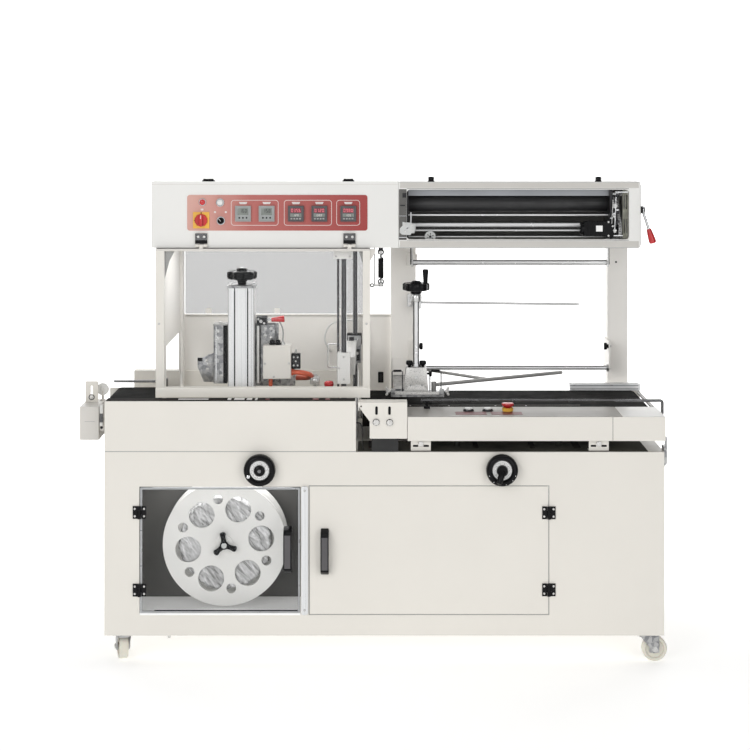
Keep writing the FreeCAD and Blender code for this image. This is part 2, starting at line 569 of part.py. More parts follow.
node("control_fascia", plate_body("fascia", HF, "fascia_thick", lambda s: round_rect(s, -574, -23, 1297, 1406, 8), fascia_cuts))
FY = HF - 1.5
fit = [box("meter", x - 24, x + 24, FY - 8, FY, 1325, 1373) for x in (-403, -331, -241.5, -170, -81.6)]
fit += [cut("switch_plate", box("switch_plate", -556, -506, FY - 3, FY, 1304, 1354), [cyl("switch_hole", 5.6, 8, -531, FY - 5, 1329, "Y")]),
        ring("selector_ring", 5.6, 13, 4, -471, FY - 4, 1327.5, "Y"), ring("button_ring", 9.2, 12.5, 6, -473, FY - 6, 1383, "Y"),
        fuse("lamp", [cyl("lamp_base", 12, 4, -527, FY - 4, 1384, "Y"), cyl("lamp_dome", 9.5, 8, -527, FY - 12, 1384, "Y")])]
node("panel_fittings", *fit)
node("main_switch_knob", fuse("main_knob", [cyl("main_knob", 19, 8, -531, FY - 12, 1329, "Y"), box("main_grip", -536, -526, FY - 22, FY - 12, 1312, 1346), cyl("main_stem", 5, 18, -531, FY - 4.5, 1329, "Y")]))
node("selector_knob", fuse("selector", [cyl("selector", 10, 5, -471, FY - 10, 1327.5, "Y"), box("selector_grip", -474, -468, FY - 18, FY - 10, 1318, 1337), cyl("selector_stem", 5, 16, -471, FY - 5.5, 1327.5, "Y")]))
node("panel_button", fuse("panel_button", [cyl("button_cap", 8.6, 6, -473, FY - 10, 1383, "Y"), cyl("button_stem", 5, 14, -473, FY - 4.5, 1383, "Y")]))

fbox = cut("film_box", box("film_outer", 71.5, 812, HF, HB, HL, HT),
           [box("film_inner", 74, 809.5, HF + 2.5, HB - 2.5, HL + 2.5, HT - 2.5),
            box("film_mouth", 95, 778, HF - 1, HF + 4, 1268, 1424), box("film_exit", 110, 770, 330, 420, HL - 1, HL + 4),
            cyl("lever_bore", 8.06, 6, 808, 150, 1358, "X")])
node("film_box", fbox)
plates = []
for x in (95, 722):
    p = box("roller_plate", x, x + 8, 130, 262, HL + 2.5, HT - 2.5)
    plates.append(cut("roller_plate", p, [cyl("bore", 10.06, 12, x - 2, 200, 1375, "X"), cyl("bore", 8.06, 12, x - 2, 200, 1418.3, "X")]))
rods = [cyl("guide_bar", 4, 619, 103, 172, 1341, "X"), cyl("guide_tube", 9.5, 619, 103, 186, 1309.5, "X"),
        cyl("guide_bar", 4, 619, 103, 160, 1294, "X"), cyl("guide_bar", 3, 619, 103, 152, 1275, "X")]
fmotor = fuse("feed_motor", [box("feed_motor", 640, 706, 104, 140, 1281, 1323), box("feed_flange", 706, 722, 104, 140, 1276, 1328), box("feed_ear", 722, 730, 104, 130, 1276, 1328), cyl("feed_shaft", 6, 30, 722, 118, 1302, "X"),
                             cyl("feed_sprocket", 18, 8, 745, 118, 1302, "X")])
node("roller_frame", *(plates + rods + [fmotor]))
node("rubber_roller", fuse("rubber_roller", [cyl("rubber_roller", 25, 617, 104, 200, 1375, "X"), cyl("rubber_journal", 10, 670, 88, 200, 1375, "X"), cyl("rubber_sprocket", 26, 8, 745, 200, 1375, "X")]))
node("pressure_roller", fuse("pressure_roller", [cyl("pressure_roller", 18, 617, 104, 200, 1418.3, "X"), cyl("pressure_journal", 8, 653, 88, 200, 1418.3, "X")]))
arm = rod("lever_arm", 4, (828, 150, 1352), (845, 150, 1296))
lever = fuse("nip_lever", [cyl("lever_hub", 13, 20, 813, 150, 1358, "X"), cyl("lever_shaft", 8, 50, 765, 150, 1358, "X"), arm, rod("lever_grip", 11, (844.4, 150, 1298), (858, 150, 1254))])
node("nip_lever", lever)

# film path rods, post brackets, return spring (coil), film side stops
hangers = [cut("hanger", box("hanger", x, x + 4, 506, 534, 1152, HL), [cyl("hanger_bore", 4.06, 8, x - 2, 520, 1166, "X")]) for x in (120, 764)]
r_thin = fuse("thin_rod", [rod("thin_rod", 3.5, (150, 520, 1034), (672, 520, 1028)), box("thin_bracket", 136, 152, 510, 590, 1014, 1056), box("thin_pad", 108, 152, 584, 590, 1014, 1056)])
low_l = fuse("low_bracket", [box("low_bracket", 136, 142, 508, 590, 808, 905), cyl("low_knob", 8, 16, 142, 520, 890, "X"), box("low_pad", 110, 142, 586, 590, 808, 905)])
low_r = fuse("low_bracket", [box("low_bracket", 769, 775, 508, 650, 808, 905), cyl("low_knob", 8, 16, 753, 520, 890, "X")])
low = cyl("low_rod", 7, 627, 142, 520, 819, "X")
stops = [cyl("side_stop", 9, 16, x, 112, HT) for x in (172, 684)]
spring = fuse("spring", [cyl("spring_coil", 7.5, 56, 18, 120, 1152), cyl("spring_hook", 2, 94, 18, 120, 1133), box("spring_arm", 10, 26, 112, 156, 1226, HL),
                         box("spring_foot", 10, 26, 112, 156, 1122, 1134), cyl("spring_stay", 3, HL - 1122, 18, 148, 1122)])
node("film_rods", *(hangers + [r_thin, low_l, low_r, low] + stops + [spring]))
node("path_roller", fuse("path_roller", [cyl("path_roller", 8.2, 638, 125, 520, 1166, "X"), cyl("path_journal", 4, 648, 120, 520, 1166, "X")]))

# film former: base, arm to the post, upright screw, crank wheel, travelling block
PX, PY = 129, 240
fbase = fuse("former_base", [box("former_plate", 50, 215, 196, 284, 773, 779), box("former_arm", 60, 110, 284, 590, 773, 785), box("former_up", 60, 110, 584, 590, 773, 840),
                             cyl("former_screw", 9.5, 310, PX, PY, 779), cyl("former_collar", 14, 8, PX, PY, 1081)])
rodA = fuse("former_rods", [rod("former_rod_a", 6, (185, 272, 800), (617, 546, 800)), cyl("former_stub", 8, 31, 185, 272, 779),
                            rod("former_rod_b", 5, (160, 616, 800), (367, 387.5, 800)), box("former_rod_foot", 136, 172, 600, 632, 788, 812)])
node("former_base", fbase, rodA)
block = cut("former_block", fuse("former_block", [box("former_block", 93, 165, 215, 265, 785, 862), box("former_clamp", 100, 158, 222, 258, 862, 876),
                                                  cyl("clamp_knob", 9, 14, 165, 240, 840, "X")]), [cyl("former_bore", 9.6, 120, PX, PY, 775)])
node("former_block", block)
crank = body("crank_body")
revolve(crank, "crank", [(0, 1089.5), (16, 1089.5), (16, 1098), (30, 1104), (38, 1098), (43.5, 1103), (43.5, 1115), (38, 1121), (30, 1116), (18, 1122), (14, 1131), (0, 1131)])
put(crank, PX, PY, 0, TURN_UP)
spin = fuse("crank_grip", [cyl("crank_grip", 8, 40, PX + 31, PY - 12, 1122), cyl("crank_pin", 4, 12, PX + 31, PY - 12, 1112)])
node("former_crank", fuse("former_crank", [crank, spin]))

# ---- sealing units ----------------------------------------------------------------------------
col = cut("seal_column", box("column", -451, -371, 122, 202, CT, 1119), [box("column_in", -441, -381, 132, 192, CT - 1, 1120)])
cap = cut("column_cap", box("column_cap", -455, -367, 118, 206, 1119, 1126), [cyl("cap_bore", 8.06, 12, -411, 162, 1117)])
slots = [box("tslot", x - 4, x + 4, 121, 128, CT + 5, 1110) for x in (-431, -391)]
node("seal_column", cut("column_slots", col, slots), cap)
star = body("star_body")
dim("star_rad", 47)
dim("star_thick", 18)
revolve(star, "star", [(0, 1134), (18, 1134), (20, 1144), (44, 1146), (47, 1152), (47, 1162), (43, 1168), (22, 1170), (18, 1178), (0, 1178)])
put(star, -411, 162, 0, TURN_UP)
node("seal_handwheel", star, cyl("seal_screw", 8, 214, -411, 162, 920))
unit = [box("unit_carriage", -500, -300, 202.6, 210, 822, 1002), cut("unit_channel", box("unit_channel", -498, -456, 150, 202.6, 822, 1004), [box("unit_channel_in", -495, -459, 153, 203, 821, 1005)]), box("unit_plate", -355, -310, 180, 202.6, 822, 1002),
        box("unit_head", -430, -250, 210, 262, 806, 866), box("unit_bracket", -551, -500, 195, 210, 822, 917)]
junction_box = cut("junction_box", box("junction_box", -344, -258, 124, 176, 840, 942), [box("junction_in", -341, -261, 127, 173, 843, 939)])
junction_arm = box("junction_arm", -355, -300, 176, 180, 850, 930)
clamp_body = box("clamp_body", -368, -334, 150, 202, 1004, 1026)
node("seal_unit", fuse("seal_unit", unit), junction_box, junction_arm, cut("clamp_body", box("clamp_body", -366, -334, 152, 202, 1002.0, 1026), [box("clamp_gap", -352, -333, 168, 184, 1008, 1027)]))
node("toggle_lever", fuse("toggle_lever", [cyl("toggle_pivot", 5, 15, -345, 168.5, 1015, "Y"), rod("toggle_arm", 3.5, (-343, 176, 1015), (-322, 176, 1018)), rod("toggle_grip", 8, (-324, 176, 1017.7), (-280, 176, 1024))]))

shafts = [cyl("jaw_shaft", 9, 1208 - CT, x, y, CT) for x, y in ((-96, 150), (-66, 610))]
tops = [box("jaw_top", -127, -70, 130, 172, 1208, HL), box("jaw_top", -92, -40, 585, 635, 1208, HL)]
tops[1] = fuse("jaw_top", [box("jaw_top", -92, -40, 585, 635, 1208, 1240), box("jaw_top_arm", -92, -40, 540, 600, 1236, HL)])
lower = fuse("lower_jaw", [box("lower_jaw", -112, -56, 212, 566, 700, 748), box("jaw_leg", -112, -56, 230, 260, CT, 700), box("jaw_leg", -112, -56, 520, 550, CT, 700)])
cylinder_hose = cord("cylinder_hose", [(-150, 657, 858), (-150, 636, 858), (-174, 628, 900), (-154, 622, 950), (-112, 610, 966), (-75, 610, 966)], "tube_rad")
node("cross_seal_guides", lower, cylinder_hose, *(shafts + tops))
jaw = cut("cross_jaw", fuse("cross_jaw", [box("jaw_block", -116, -76, 130, 170, 824, 919), box("jaw_beam", -106, -62, 170, 590, 846, 900), box("jaw_nose", -90, -78, 216, 562, 834, 846),
                                          box("jaw_block", -92, -46, 590, 630, 824, 919)]), [cyl("jaw_bore", 9.06, 120, -96, 150, 815), cyl("jaw_bore", 9.06, 120, -66, 610, 815)])
node("cross_seal_jaw", jaw)

# ---- hood ---------------------------------------------------------------------------------------
hood = cut("hood_frame", box("hood_pan", D["hood_left"], D["hood_right"], 86, 112, D["hood_low"], D["hood_high"]),
           [box("hood_hollow", D["hood_left"] + 2.5, D["hood_right"] - 2.5, 88.5, 113, D["hood_low"] + 2.5, D["hood_high"] - 2.5),
            box("hood_window_hole", -643, -37, 85, 90, 822, 1235)])
node("hood_frame", hood, *hood_leaves)
dim("hood_pane_thick", 4)
node("hood_window", plate_body("hood_pane", 92.5, "hood_pane_thick", lambda s: round_rect(s, -655, -25, 810, 1238, 4)))

# ---- hose and sensor cable of the sealing head ------------------------------------------
hose = cord("air_hose", [(-256.8, 150, 858), (-228, 151, 856), (-203, 163, 849), (-197, 190, 838), (-212, 226, 829), (-246, 239.4, 827)], "hose_rad")
sensor_cable = cord("sensor_cable", [(-334, 196, 1014), (-298, 196, 1014), (-284, 172, 984), (-284, 150, 962), (-284, 150, 942)], "cable_rad")
node("air_hose", hose, sensor_cable)

# ---- casters ---------------------------------------------------------------------------------------
CAST = {"front_left": (-761, 50, 105), "front_right": (821, 50, 0), "rear_left": (-761, 650, 80), "rear_right": (821, 650, 20)}
tops = []
for name, (x, y, deg) in CAST.items():
    tops.append(fuse("caster_top", [box("caster_plate", x - 35, x + 35, y - 30, y + 30, CB - 4, CB), cyl("king_pin", 6, 12, x, y, CB - 16)]))
tops.append(fuse("level_bolt", [cyl("level_bolt", 12, 7, -622, 40, CB - 7), cyl("level_bolt", 5, 12, -622, 40, CB - 19)]))
node("drives_and_caster_plates", *(drives + tops))
for name, (x, y, deg) in CAST.items():
    c, sn = math.cos(math.radians(deg)), math.sin(math.radians(deg))
    T = D["caster_trail"]
    rot = Rotation(Vector(0, 0, 1), deg)
    # local frame: trail along +X, axle along Y
    parts = []
    o = doc.addObject("Part::Cylinder", unique("swivel_race"))
    bind(o, "Radius", dim("race_rad", 24)); bind(o, "Height", dim("race_high", 5))
    o.Placement = Placement(Vector(0, 0, 78.5), Rotation())
    parts.append(o)
    for sgn in (-1, 1):
        leg = doc.addObject("Part::Box", unique("fork_leg"))
        bind(leg, "Length", dim("leg_long", 30)); bind(leg, "Width", dim("leg_thick", 2.5)); bind(leg, "Height", dim("leg_high", 50))
        leg.Placement = Placement(Vector(T - 17, sgn * 17.75 - 1.25, 28), Rotation())
        parts.append(leg)
    crown = doc.addObject("Part::Box", unique("fork_crown"))
    bind(crown, "Length", dim("crown_long", 54)); bind(crown, "Width", dim("crown_wide", 38)); bind(crown, "Height", dim("crown_thick", 2.5))
    crown.Placement = Placement(Vector(-17, -19, 77), Rotation())
    parts.append(crown)
    axle = doc.addObject("Part::Cylinder", unique("wheel_axle"))
    bind(axle, "Radius", dim("axle_rad", 5)); bind(axle, "Height", dim("axle_long", 46))
    axle.Placement = Placement(Vector(T, 23, D["wheel_rad"]), Rotation(Vector(1, 0, 0), 90))
    parts.append(axle)
    hole = doc.addObject("Part::Cylinder", unique("king_bore"))
    bind(hole, "Radius", dim("king_bore_rad", 6.06)); bind(hole, "Height", dim("king_bore_high", 20))
    hole.Placement = Placement(Vector(0, 0, 70), Rotation())
    f = cut("caster_fork", fuse("caster_fork", parts), [hole])
    f.Placement = Placement(Vector(x + SX, y + SY, 0), rot)
    node("fork_" + name, f)
    b = body("wheel_%s_body" % name)
    R, H = D["wheel_rad"], D["wheel_wide"] / 2
    revolve(b, "wheel_" + name, [(5.06, -H - 1), (11, -H - 1), (11, -H + 4), (R - 12, -H + 4), (R - 9, -H), (R - 3, -H), (R, -H + 3), (R, H - 3), (R - 3, H), (R - 9, H), (R - 12, H - 4), (11, H - 4), (11, H + 1), (5.06, H + 1)])
    b.Placement = Placement(Vector(x + T * c + SX, y + T * sn + SY, R), rot)
    node("wheel_" + name, b)

# ---- checks and export ----------------------------------------------------------------------------
doc.recompute()
bad = []
for o in doc.Objects:
    if any(k in ("Invalid", "Error") for k in o.State):
        bad.append((o.Name, o.State))
for name, o in nodes.items():
    if o.Shape.isNull() or not o.Shape.isValid() or not o.Shape.Solids:
        bad.append((name, "shape"))
if bad:
    raise RuntimeError("failed objects: %s" % bad[:20])
if reel.Shape.Volume > math.pi * D["reel_rad"] ** 2 * 6 * 0.8:
    raise RuntimeError("the reel's holes were not cut")

os.makedirs("parts", exist_ok=True)
total = FreeCAD.BoundBox()
for name, o in nodes.items():
    total.add(o.Shape.BoundBox)
    o.Shape.exportStep("parts/%s.step" % name)
print("nodes", len(nodes))
print("box", total)
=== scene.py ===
import bpy, bmesh, json, math, random
from mathutils import Matrix, Vector, noise

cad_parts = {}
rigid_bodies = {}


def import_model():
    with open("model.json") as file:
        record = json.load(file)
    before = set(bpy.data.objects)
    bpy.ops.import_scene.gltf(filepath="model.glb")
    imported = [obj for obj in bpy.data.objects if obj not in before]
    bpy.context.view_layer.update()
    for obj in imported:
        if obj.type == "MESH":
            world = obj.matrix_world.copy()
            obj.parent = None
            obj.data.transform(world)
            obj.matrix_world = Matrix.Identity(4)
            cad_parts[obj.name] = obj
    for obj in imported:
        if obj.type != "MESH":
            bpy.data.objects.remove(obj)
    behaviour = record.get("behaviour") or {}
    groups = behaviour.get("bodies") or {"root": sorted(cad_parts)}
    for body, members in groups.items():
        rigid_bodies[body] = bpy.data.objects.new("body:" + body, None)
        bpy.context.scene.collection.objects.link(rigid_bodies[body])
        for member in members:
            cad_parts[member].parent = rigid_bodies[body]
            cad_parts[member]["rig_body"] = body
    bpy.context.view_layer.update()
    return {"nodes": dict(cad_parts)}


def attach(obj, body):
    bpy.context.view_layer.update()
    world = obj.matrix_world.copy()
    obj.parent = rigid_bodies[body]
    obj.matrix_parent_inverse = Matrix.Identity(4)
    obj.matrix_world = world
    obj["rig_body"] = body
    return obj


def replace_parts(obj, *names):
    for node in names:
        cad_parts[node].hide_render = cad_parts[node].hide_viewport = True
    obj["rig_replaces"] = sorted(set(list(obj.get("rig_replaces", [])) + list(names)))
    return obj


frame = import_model()
NODES = frame["nodes"]
SX, SY = 2.5, -320.562
scene = bpy.context.scene
random.seed(7)


def W(x, y, z):
    """Layout millimetres (from the cabinet's front plane) to the row frame, metres."""
    return Vector(((x + SX) / 1000, (y + SY) / 1000, z / 1000))


# ------------------------------------------------------------------ materials
MATS = {}


class Mat:
    """A small builder for node materials around one Principled shader."""

    def __init__(self, name, base, rough=0.5, metal=0.0, **kw):
        self.m = bpy.data.materials.new(name)
        self.m.use_nodes = True
        self.t = self.m.node_tree
        self.n = self.t.nodes
        self.l = self.t.links
        self.p = self.n["Principled BSDF"]
        self.set("Base Color", (*base, 1))
        self.set("Roughness", rough)
        self.set("Metallic", metal)
        for k, v in kw.items():
            self.set(k.replace("_", " "), v)
        self.base = base
        self.rough = rough
        tc = self.n.new("ShaderNodeTexCoord")
        self.co = tc.outputs["Object"]
        self.height = None
        MATS[name] = self.m

    def set(self, socket, value):
        s = self.p.inputs.get(socket)
        if s is not None:
            s.default_value = value

    def mapping(self, scale=(1, 1, 1), rot=(0, 0, 0), loc=(0, 0, 0)):
        mp = self.n.new("ShaderNodeMapping")
        mp.inputs["Scale"].default_value = scale
        mp.inputs["Rotation"].default_value = rot
        mp.inputs["Location"].default_value = loc
        self.l.new(self.co, mp.inputs["Vector"])
        return mp.outputs["Vector"]

    def noise(self, scale, detail=3, rough=0.5, vec=None, dist=0.0):
        x = self.n.new("ShaderNodeTexNoise")
        x.inputs["Scale"].default_value = scale
        x.inputs["Detail"].default_value = detail
        x.inputs["Roughness"].default_value = rough
        x.inputs["Distortion"].default_value = dist
        self.l.new(vec or self.co, x.inputs["Vector"])
        return x.outputs["Fac"]

    def voronoi(self, scale, feature="F1", out="Distance", vec=None):
        x = self.n.new("ShaderNodeTexVoronoi")
        x.feature = feature
        x.inputs["Scale"].default_value = scale
        self.l.new(vec or self.co, x.inputs["Vector"])
        return x.outputs[out]

    def wave(self, scale, axis="X", dist=0.0, vec=None, kind="BANDS"):
        x = self.n.new("ShaderNodeTexWave")
        x.wave_type = kind
        if kind == "BANDS":
            x.bands_direction = axis
        x.inputs["Scale"].default_value = scale
        x.inputs["Distortion"].default_value = dist
        self.l.new(vec or self.co, x.inputs["Vector"])
        return x.outputs["Fac"]

    def remap(self, fac, a, b, lo=0.0, hi=1.0):
        x = self.n.new("ShaderNodeMapRange")
        x.inputs["From Min"].default_value = a
        x.inputs["From Max"].default_value = b
        x.inputs["To Min"].default_value = lo
        x.inputs["To Max"].default_value = hi
        self.l.new(fac, x.inputs["Value"])
        return x.outputs["Result"]

    def mix(self, fac, c1, c2):
        x = self.n.new("ShaderNodeMix")
        x.data_type = "RGBA"
        self.l.new(fac, x.inputs["Factor"])
        for s, c in (("A", c1), ("B", c2)):
            k = [i for i in x.inputs if i.name == s and i.type == "RGBA"][0]
            if isinstance(c, tuple):
                k.default_value = (*c, 1)
            else:
                self.l.new(c, k)
        return [o for o in x.outputs if o.type == "RGBA"][0]

    def math(self, op, a, b):
        x = self.n.new("ShaderNodeMath")
        x.operation = op
        for i, v in enumerate((a, b)):
            if isinstance(v, (int, float)):
                x.inputs[i].default_value = v
            else:
                self.l.new(v, x.inputs[i])
        return x.outputs[0]

    def color(self, sock):
        self.l.new(sock, self.p.inputs["Base Color"])
        return self

    def vary(self, amount=0.05, scale=3.0, detail=4):
        """Slow patches a little darker and lighter than the base colour."""
        f = self.remap(self.noise(scale, detail), 0.3, 0.7)
        d = tuple(c * (1 - amount) for c in self.base)
        u = tuple(min(1, c * (1 + amount * 0.5)) for c in self.base)
        self.color(self.mix(f, d, u))
        return self

    def rough_vary(self, lo, hi, scale=40, detail=4):
        f = self.remap(self.noise(scale, detail), 0.3, 0.7, lo, hi)
        self.l.new(f, self.p.inputs["Roughness"])
        return self

    def bump(self, height, strength=0.2, dist=0.0005):
        b = self.n.new("ShaderNodeBump")
        b.inputs["Strength"].default_value = strength
        b.inputs["Distance"].default_value = dist
        self.l.new(height, b.inputs["Height"])
        self.l.new(b.outputs["Normal"], self.p.inputs["Normal"])
        return self


def paint(name, base, rough=0.38, vary=0.03, peel=0.12):
    m = Mat(name, base, rough)
    m.vary(vary, 2.2)
    m.rough_vary(rough - 0.05, rough + 0.08, 14)
    m.bump(m.noise(650, 2), peel, 0.0004)
    m.set("Coat Weight", 0.15)
    m.set("Coat Roughness", 0.25)
    return m.m


CREAM = paint("cream_powder_coat", (0.815, 0.785, 0.725))
CREAM2 = paint("cream_shaded_coat", (0.70, 0.675, 0.635))
WHITE = paint("white_coat", (0.84, 0.835, 0.81), 0.35)
# painted light: a brighter copy of the cream paint for posts and parts in the shaded head, lifted to stand in for light
CREAM_PAINTED_LIGHT = paint("cream_post_painted_light", (0.93, 0.905, 0.86))
LINER = paint("dark_grey_liner", (0.115, 0.112, 0.105), 0.5, 0.12)
BAY_FLOOR_GLOW = paint("bay_floor_grey_painted_glow", (0.82, 0.83, 0.83), 0.42, 0.06)
# painted light: the grey bay floor glows faintly (emission) to stand in for light reaching the bay
BAY_FLOOR_GLOW.node_tree.nodes["Principled BSDF"].inputs["Emission Color"].default_value = (1.0, 0.99, 0.96, 1)
BAY_FLOOR_GLOW.node_tree.nodes["Principled BSDF"].inputs["Emission Strength"].default_value = 0.2
# painted shade: a darker grey copy of the cream paint for cover tops that lie in shade
CREAM_PAINTED_SHADE = paint("cream_cover_painted_shade", (0.34, 0.325, 0.30), 0.4, 0.05)

m = Mat("zinc_plate", (0.40, 0.41, 0.42), 0.33, 0.9)
v = m.voronoi(90, out="Color")
g = m.n.new("ShaderNodeRGBToBW"); m.l.new(v, g.inputs[0])
f = m.remap(g.outputs[0], 0.2, 0.8)
m.color(m.mix(f, (0.24, 0.245, 0.255), (0.52, 0.52, 0.52)))
m.l.new(m.remap(g.outputs[0], 0, 1, 0.25, 0.45), m.p.inputs["Roughness"])
m.bump(m.noise(300, 3), 0.08, 0.0004)
ZINC = m.m


def brushed(name, base, axis, rough=0.3, metal=1.0):
    m = Mat(name, base, rough, metal)
    sc = {"X": (2, 260, 260), "Y": (260, 2, 260), "Z": (260, 260, 2)}[axis]
    n = m.noise(1.0, 4, 0.6, m.mapping(sc))
    m.color(m.mix(m.remap(n, 0.3, 0.7), tuple(c * 0.86 for c in base), tuple(min(1, c * 1.06) for c in base)))
    m.l.new(m.remap(n, 0.3, 0.7, rough - 0.08, rough + 0.1), m.p.inputs["Roughness"])
    m.bump(n, 0.08, 0.0003)
    return m.m


ALU_Z = brushed("aluminium_anodised_upright", (0.80, 0.81, 0.82), "Z", 0.34, 0.75)
ALU_W = brushed("aluminium_column", (0.93, 0.935, 0.94), "Z", 0.42, 0.15)
ALU_X = brushed("aluminium_anodised", (0.74, 0.75, 0.76), "X", 0.36, 0.8)
STEEL_X = brushed("ground_steel", (0.60, 0.60, 0.61), "X", 0.28)
STEEL_Y = brushed("ground_steel_y", (0.58, 0.58, 0.59), "Y", 0.28)
STEEL_Z = brushed("ground_steel_z", (0.60, 0.60, 0.61), "Z", 0.24)
m = Mat("chrome_plate", (0.72, 0.73, 0.74), 0.10, 1.0); m.vary(0.06, 30); m.rough_vary(0.06, 0.16, 60); CHROME = m.m
m = Mat("dark_chrome", (0.18, 0.18, 0.185), 0.22, 1.0); m.vary(0.2, 40); m.rough_vary(0.16, 0.3, 60); DCHROME = m.m
m = Mat("screw_zinc", (0.62, 0.62, 0.61), 0.3, 0.95); m.vary(0.12, 300); m.rough_vary(0.22, 0.4, 400); SCREW = m.m
m = Mat("screw_white", (0.72, 0.71, 0.69), 0.3, 0.4); m.vary(0.08, 300); m.rough_vary(0.22, 0.4, 400); SCREWW = m.m

m = Mat("black_gloss_plastic", (0.008, 0.008, 0.009), 0.16)
m.rough_vary(0.14, 0.24, 60); m.bump(m.noise(900, 2), 0.04, 0.0002); m.vary(0.2, 20)
m.set("Specular IOR Level", 0.12); BLACKG = m.m
m = Mat("black_satin_plastic", (0.010, 0.010, 0.011), 0.42)
m.set("Specular IOR Level", 0.12)
m.rough_vary(0.35, 0.52, 60); m.bump(m.voronoi(1500), 0.12, 0.0002); m.vary(0.2, 20); BLACK = m.m
m = Mat("black_oxide_steel", (0.035, 0.035, 0.038), 0.35, 0.6)
m.rough_vary(0.28, 0.45, 90); m.vary(0.25, 60); BOX_STEEL = m.m

m = Mat("belt_fabric", (0.013, 0.013, 0.012), 0.62)
wx = m.wave(420, "X"); wy = m.wave(420, "Y")
h = m.math("MULTIPLY", wx, wy)
m.color(m.mix(m.remap(m.noise(9, 5), 0.35, 0.75), (0.010, 0.010, 0.0095), (0.019, 0.019, 0.018)))
m.set("Specular IOR Level", 0.06)
m.bump(h, 0.35, 0.0004); m.rough_vary(0.75, 0.95, 25); BELT = m.m
m = Mat("roller_rubber", (0.022, 0.022, 0.023), 0.5)
n1 = m.noise(1, 4, 0.6, m.mapping((6, 180, 180)))
m.color(m.mix(m.remap(n1, 0.35, 0.7), (0.014, 0.014, 0.015), (0.034, 0.034, 0.036)))
m.rough_vary(0.38, 0.6, 30); m.bump(m.noise(700, 3), 0.12, 0.0003); RUBBER = m.m

m = Mat("reel_plastic", (0.86, 0.855, 0.83), 0.46)
m.vary(0.05, 6); m.bump(m.noise(260, 3), 0.06, 0.0004); m.rough_vary(0.4, 0.55, 20); REELM = m.m
m = Mat("nylon_wheel", (0.74, 0.72, 0.63), 0.4)
m.vary(0.07, 30); m.bump(m.noise(400, 3), 0.08, 0.0003); m.set("Subsurface Weight", 0.08); NYLON = m.m
m = Mat("white_plastic", (0.80, 0.80, 0.78), 0.3); m.vary(0.03, 40); m.bump(m.noise(900, 2), 0.05, 0.0002); WPLAST = m.m
m = Mat("pale_grey_plastic", (0.60, 0.61, 0.60), 0.38); m.vary(0.04, 40); m.bump(m.noise(900, 2), 0.06, 0.0002); GPLAST = m.m
m = Mat("red_gloss_plastic", (0.60, 0.025, 0.03), 0.22); m.vary(0.12, 30); m.set("Coat Weight", 0.4); m.bump(m.noise(700, 2), 0.04, 0.0002); REDP = m.m
m = Mat("red_button", (0.50, 0.03, 0.04), 0.3); m.vary(0.1, 60); m.set("Coat Weight", 0.3); REDB = m.m
m = Mat("yellow_plastic", (0.90, 0.52, 0.08), 0.32); m.vary(0.06, 30); m.bump(m.noise(800, 2), 0.05, 0.0002); YELLOW = m.m
m = Mat("fascia_red", (0.40, 0.055, 0.05), 0.34)
# painted reflection: the red foil is painted paler towards its left end, where glare lies on it
gx = m.n.new("ShaderNodeSeparateXYZ"); m.l.new(m.co, gx.inputs[0])
k1 = m.remap(gx.outputs["X"], -0.56, -0.03)
ck = m.mix(m.remap(gx.outputs["X"], -0.56, -0.38), (0.70, 0.40, 0.34), (0.50, 0.15, 0.13))
ck = m.mix(m.remap(gx.outputs["X"], -0.40, -0.03), ck, (0.36, 0.045, 0.042))
m.color(m.mix(m.remap(m.noise(5, 3), 0.3, 0.7, 0.0, 0.10), ck, (0.30, 0.04, 0.04)))
m.rough_vary(0.28, 0.42, 60); m.bump(m.noise(900, 2), 0.06, 0.0002); m.set("Coat Weight", 0.2); FASCIA = m.m
m = Mat("fascia_print", (0.80, 0.74, 0.72), 0.4); m.vary(0.05, 60); PRINT = m.m
m = Mat("strip_red", (0.16, 0.02, 0.022), 0.36); m.vary(0.15, 30); m.bump(m.noise(600, 2), 0.06, 0.0002); STRIP = m.m
m = Mat("lcd_grey", (0.22, 0.24, 0.22), 0.2); m.vary(0.15, 60); m.set("Coat Weight", 0.5); LCD = m.m
m = Mat("led_window", (0.20, 0.045, 0.06), 0.2); m.vary(0.2, 60); m.set("Coat Weight", 0.6); LEDW = m.m
m = Mat("led_digit", (0.75, 0.16, 0.20), 0.4); m.vary(0.1, 200); m.set("Emission Color", (1.0, 0.12, 0.16, 1)); m.set("Emission Strength", 0.35); LED = m.m
m = Mat("orange_tube", (0.72, 0.12, 0.05), 0.3); m.vary(0.12, 40); m.set("Coat Weight", 0.3); m.bump(m.noise(500, 2), 0.05, 0.0002); ORANGE = m.m
m = Mat("grey_cable", (0.33, 0.33, 0.33), 0.5); m.vary(0.1, 60); m.bump(m.noise(500, 2), 0.1, 0.0002); CABLE = m.m
m = Mat("dark_gap", (0.02, 0.02, 0.02), 0.7); m.vary(0.3, 20); m.bump(m.noise(200, 2), 0.1, 0.0003); DARK = m.m
m = Mat("gusset_grey", (0.40, 0.40, 0.39), 0.45); m.vary(0.06, 20); m.bump(m.noise(700, 2), 0.08, 0.0002); GUSSET = m.m

m = Mat("clear_acrylic", (0.30, 0.31, 0.31), 0.08)
m.set("Specular IOR Level", 0.08)
m.set("Alpha", 0.035)
m.color(m.mix(m.remap(m.noise(3.0, 3), 0.35, 0.7), (0.20, 0.21, 0.21), (0.28, 0.29, 0.29)))
m.m.blend_method = "BLEND" if hasattr(m.m, "blend_method") else None
ACRYL = m.m
m = Mat("smoked_acrylic", (0.05, 0.05, 0.05), 0.15)
m.set("Specular IOR Level", 0.1)
m.set("Alpha", 0.40)
m.color(m.mix(m.remap(m.noise(2.0, 3), 0.35, 0.7), (0.04, 0.04, 0.042), (0.07, 0.07, 0.07)))
SMOKED = m.m
m = Mat("rod_painted_reflection", (0.85, 0.86, 0.87), 0.2, 0.35)
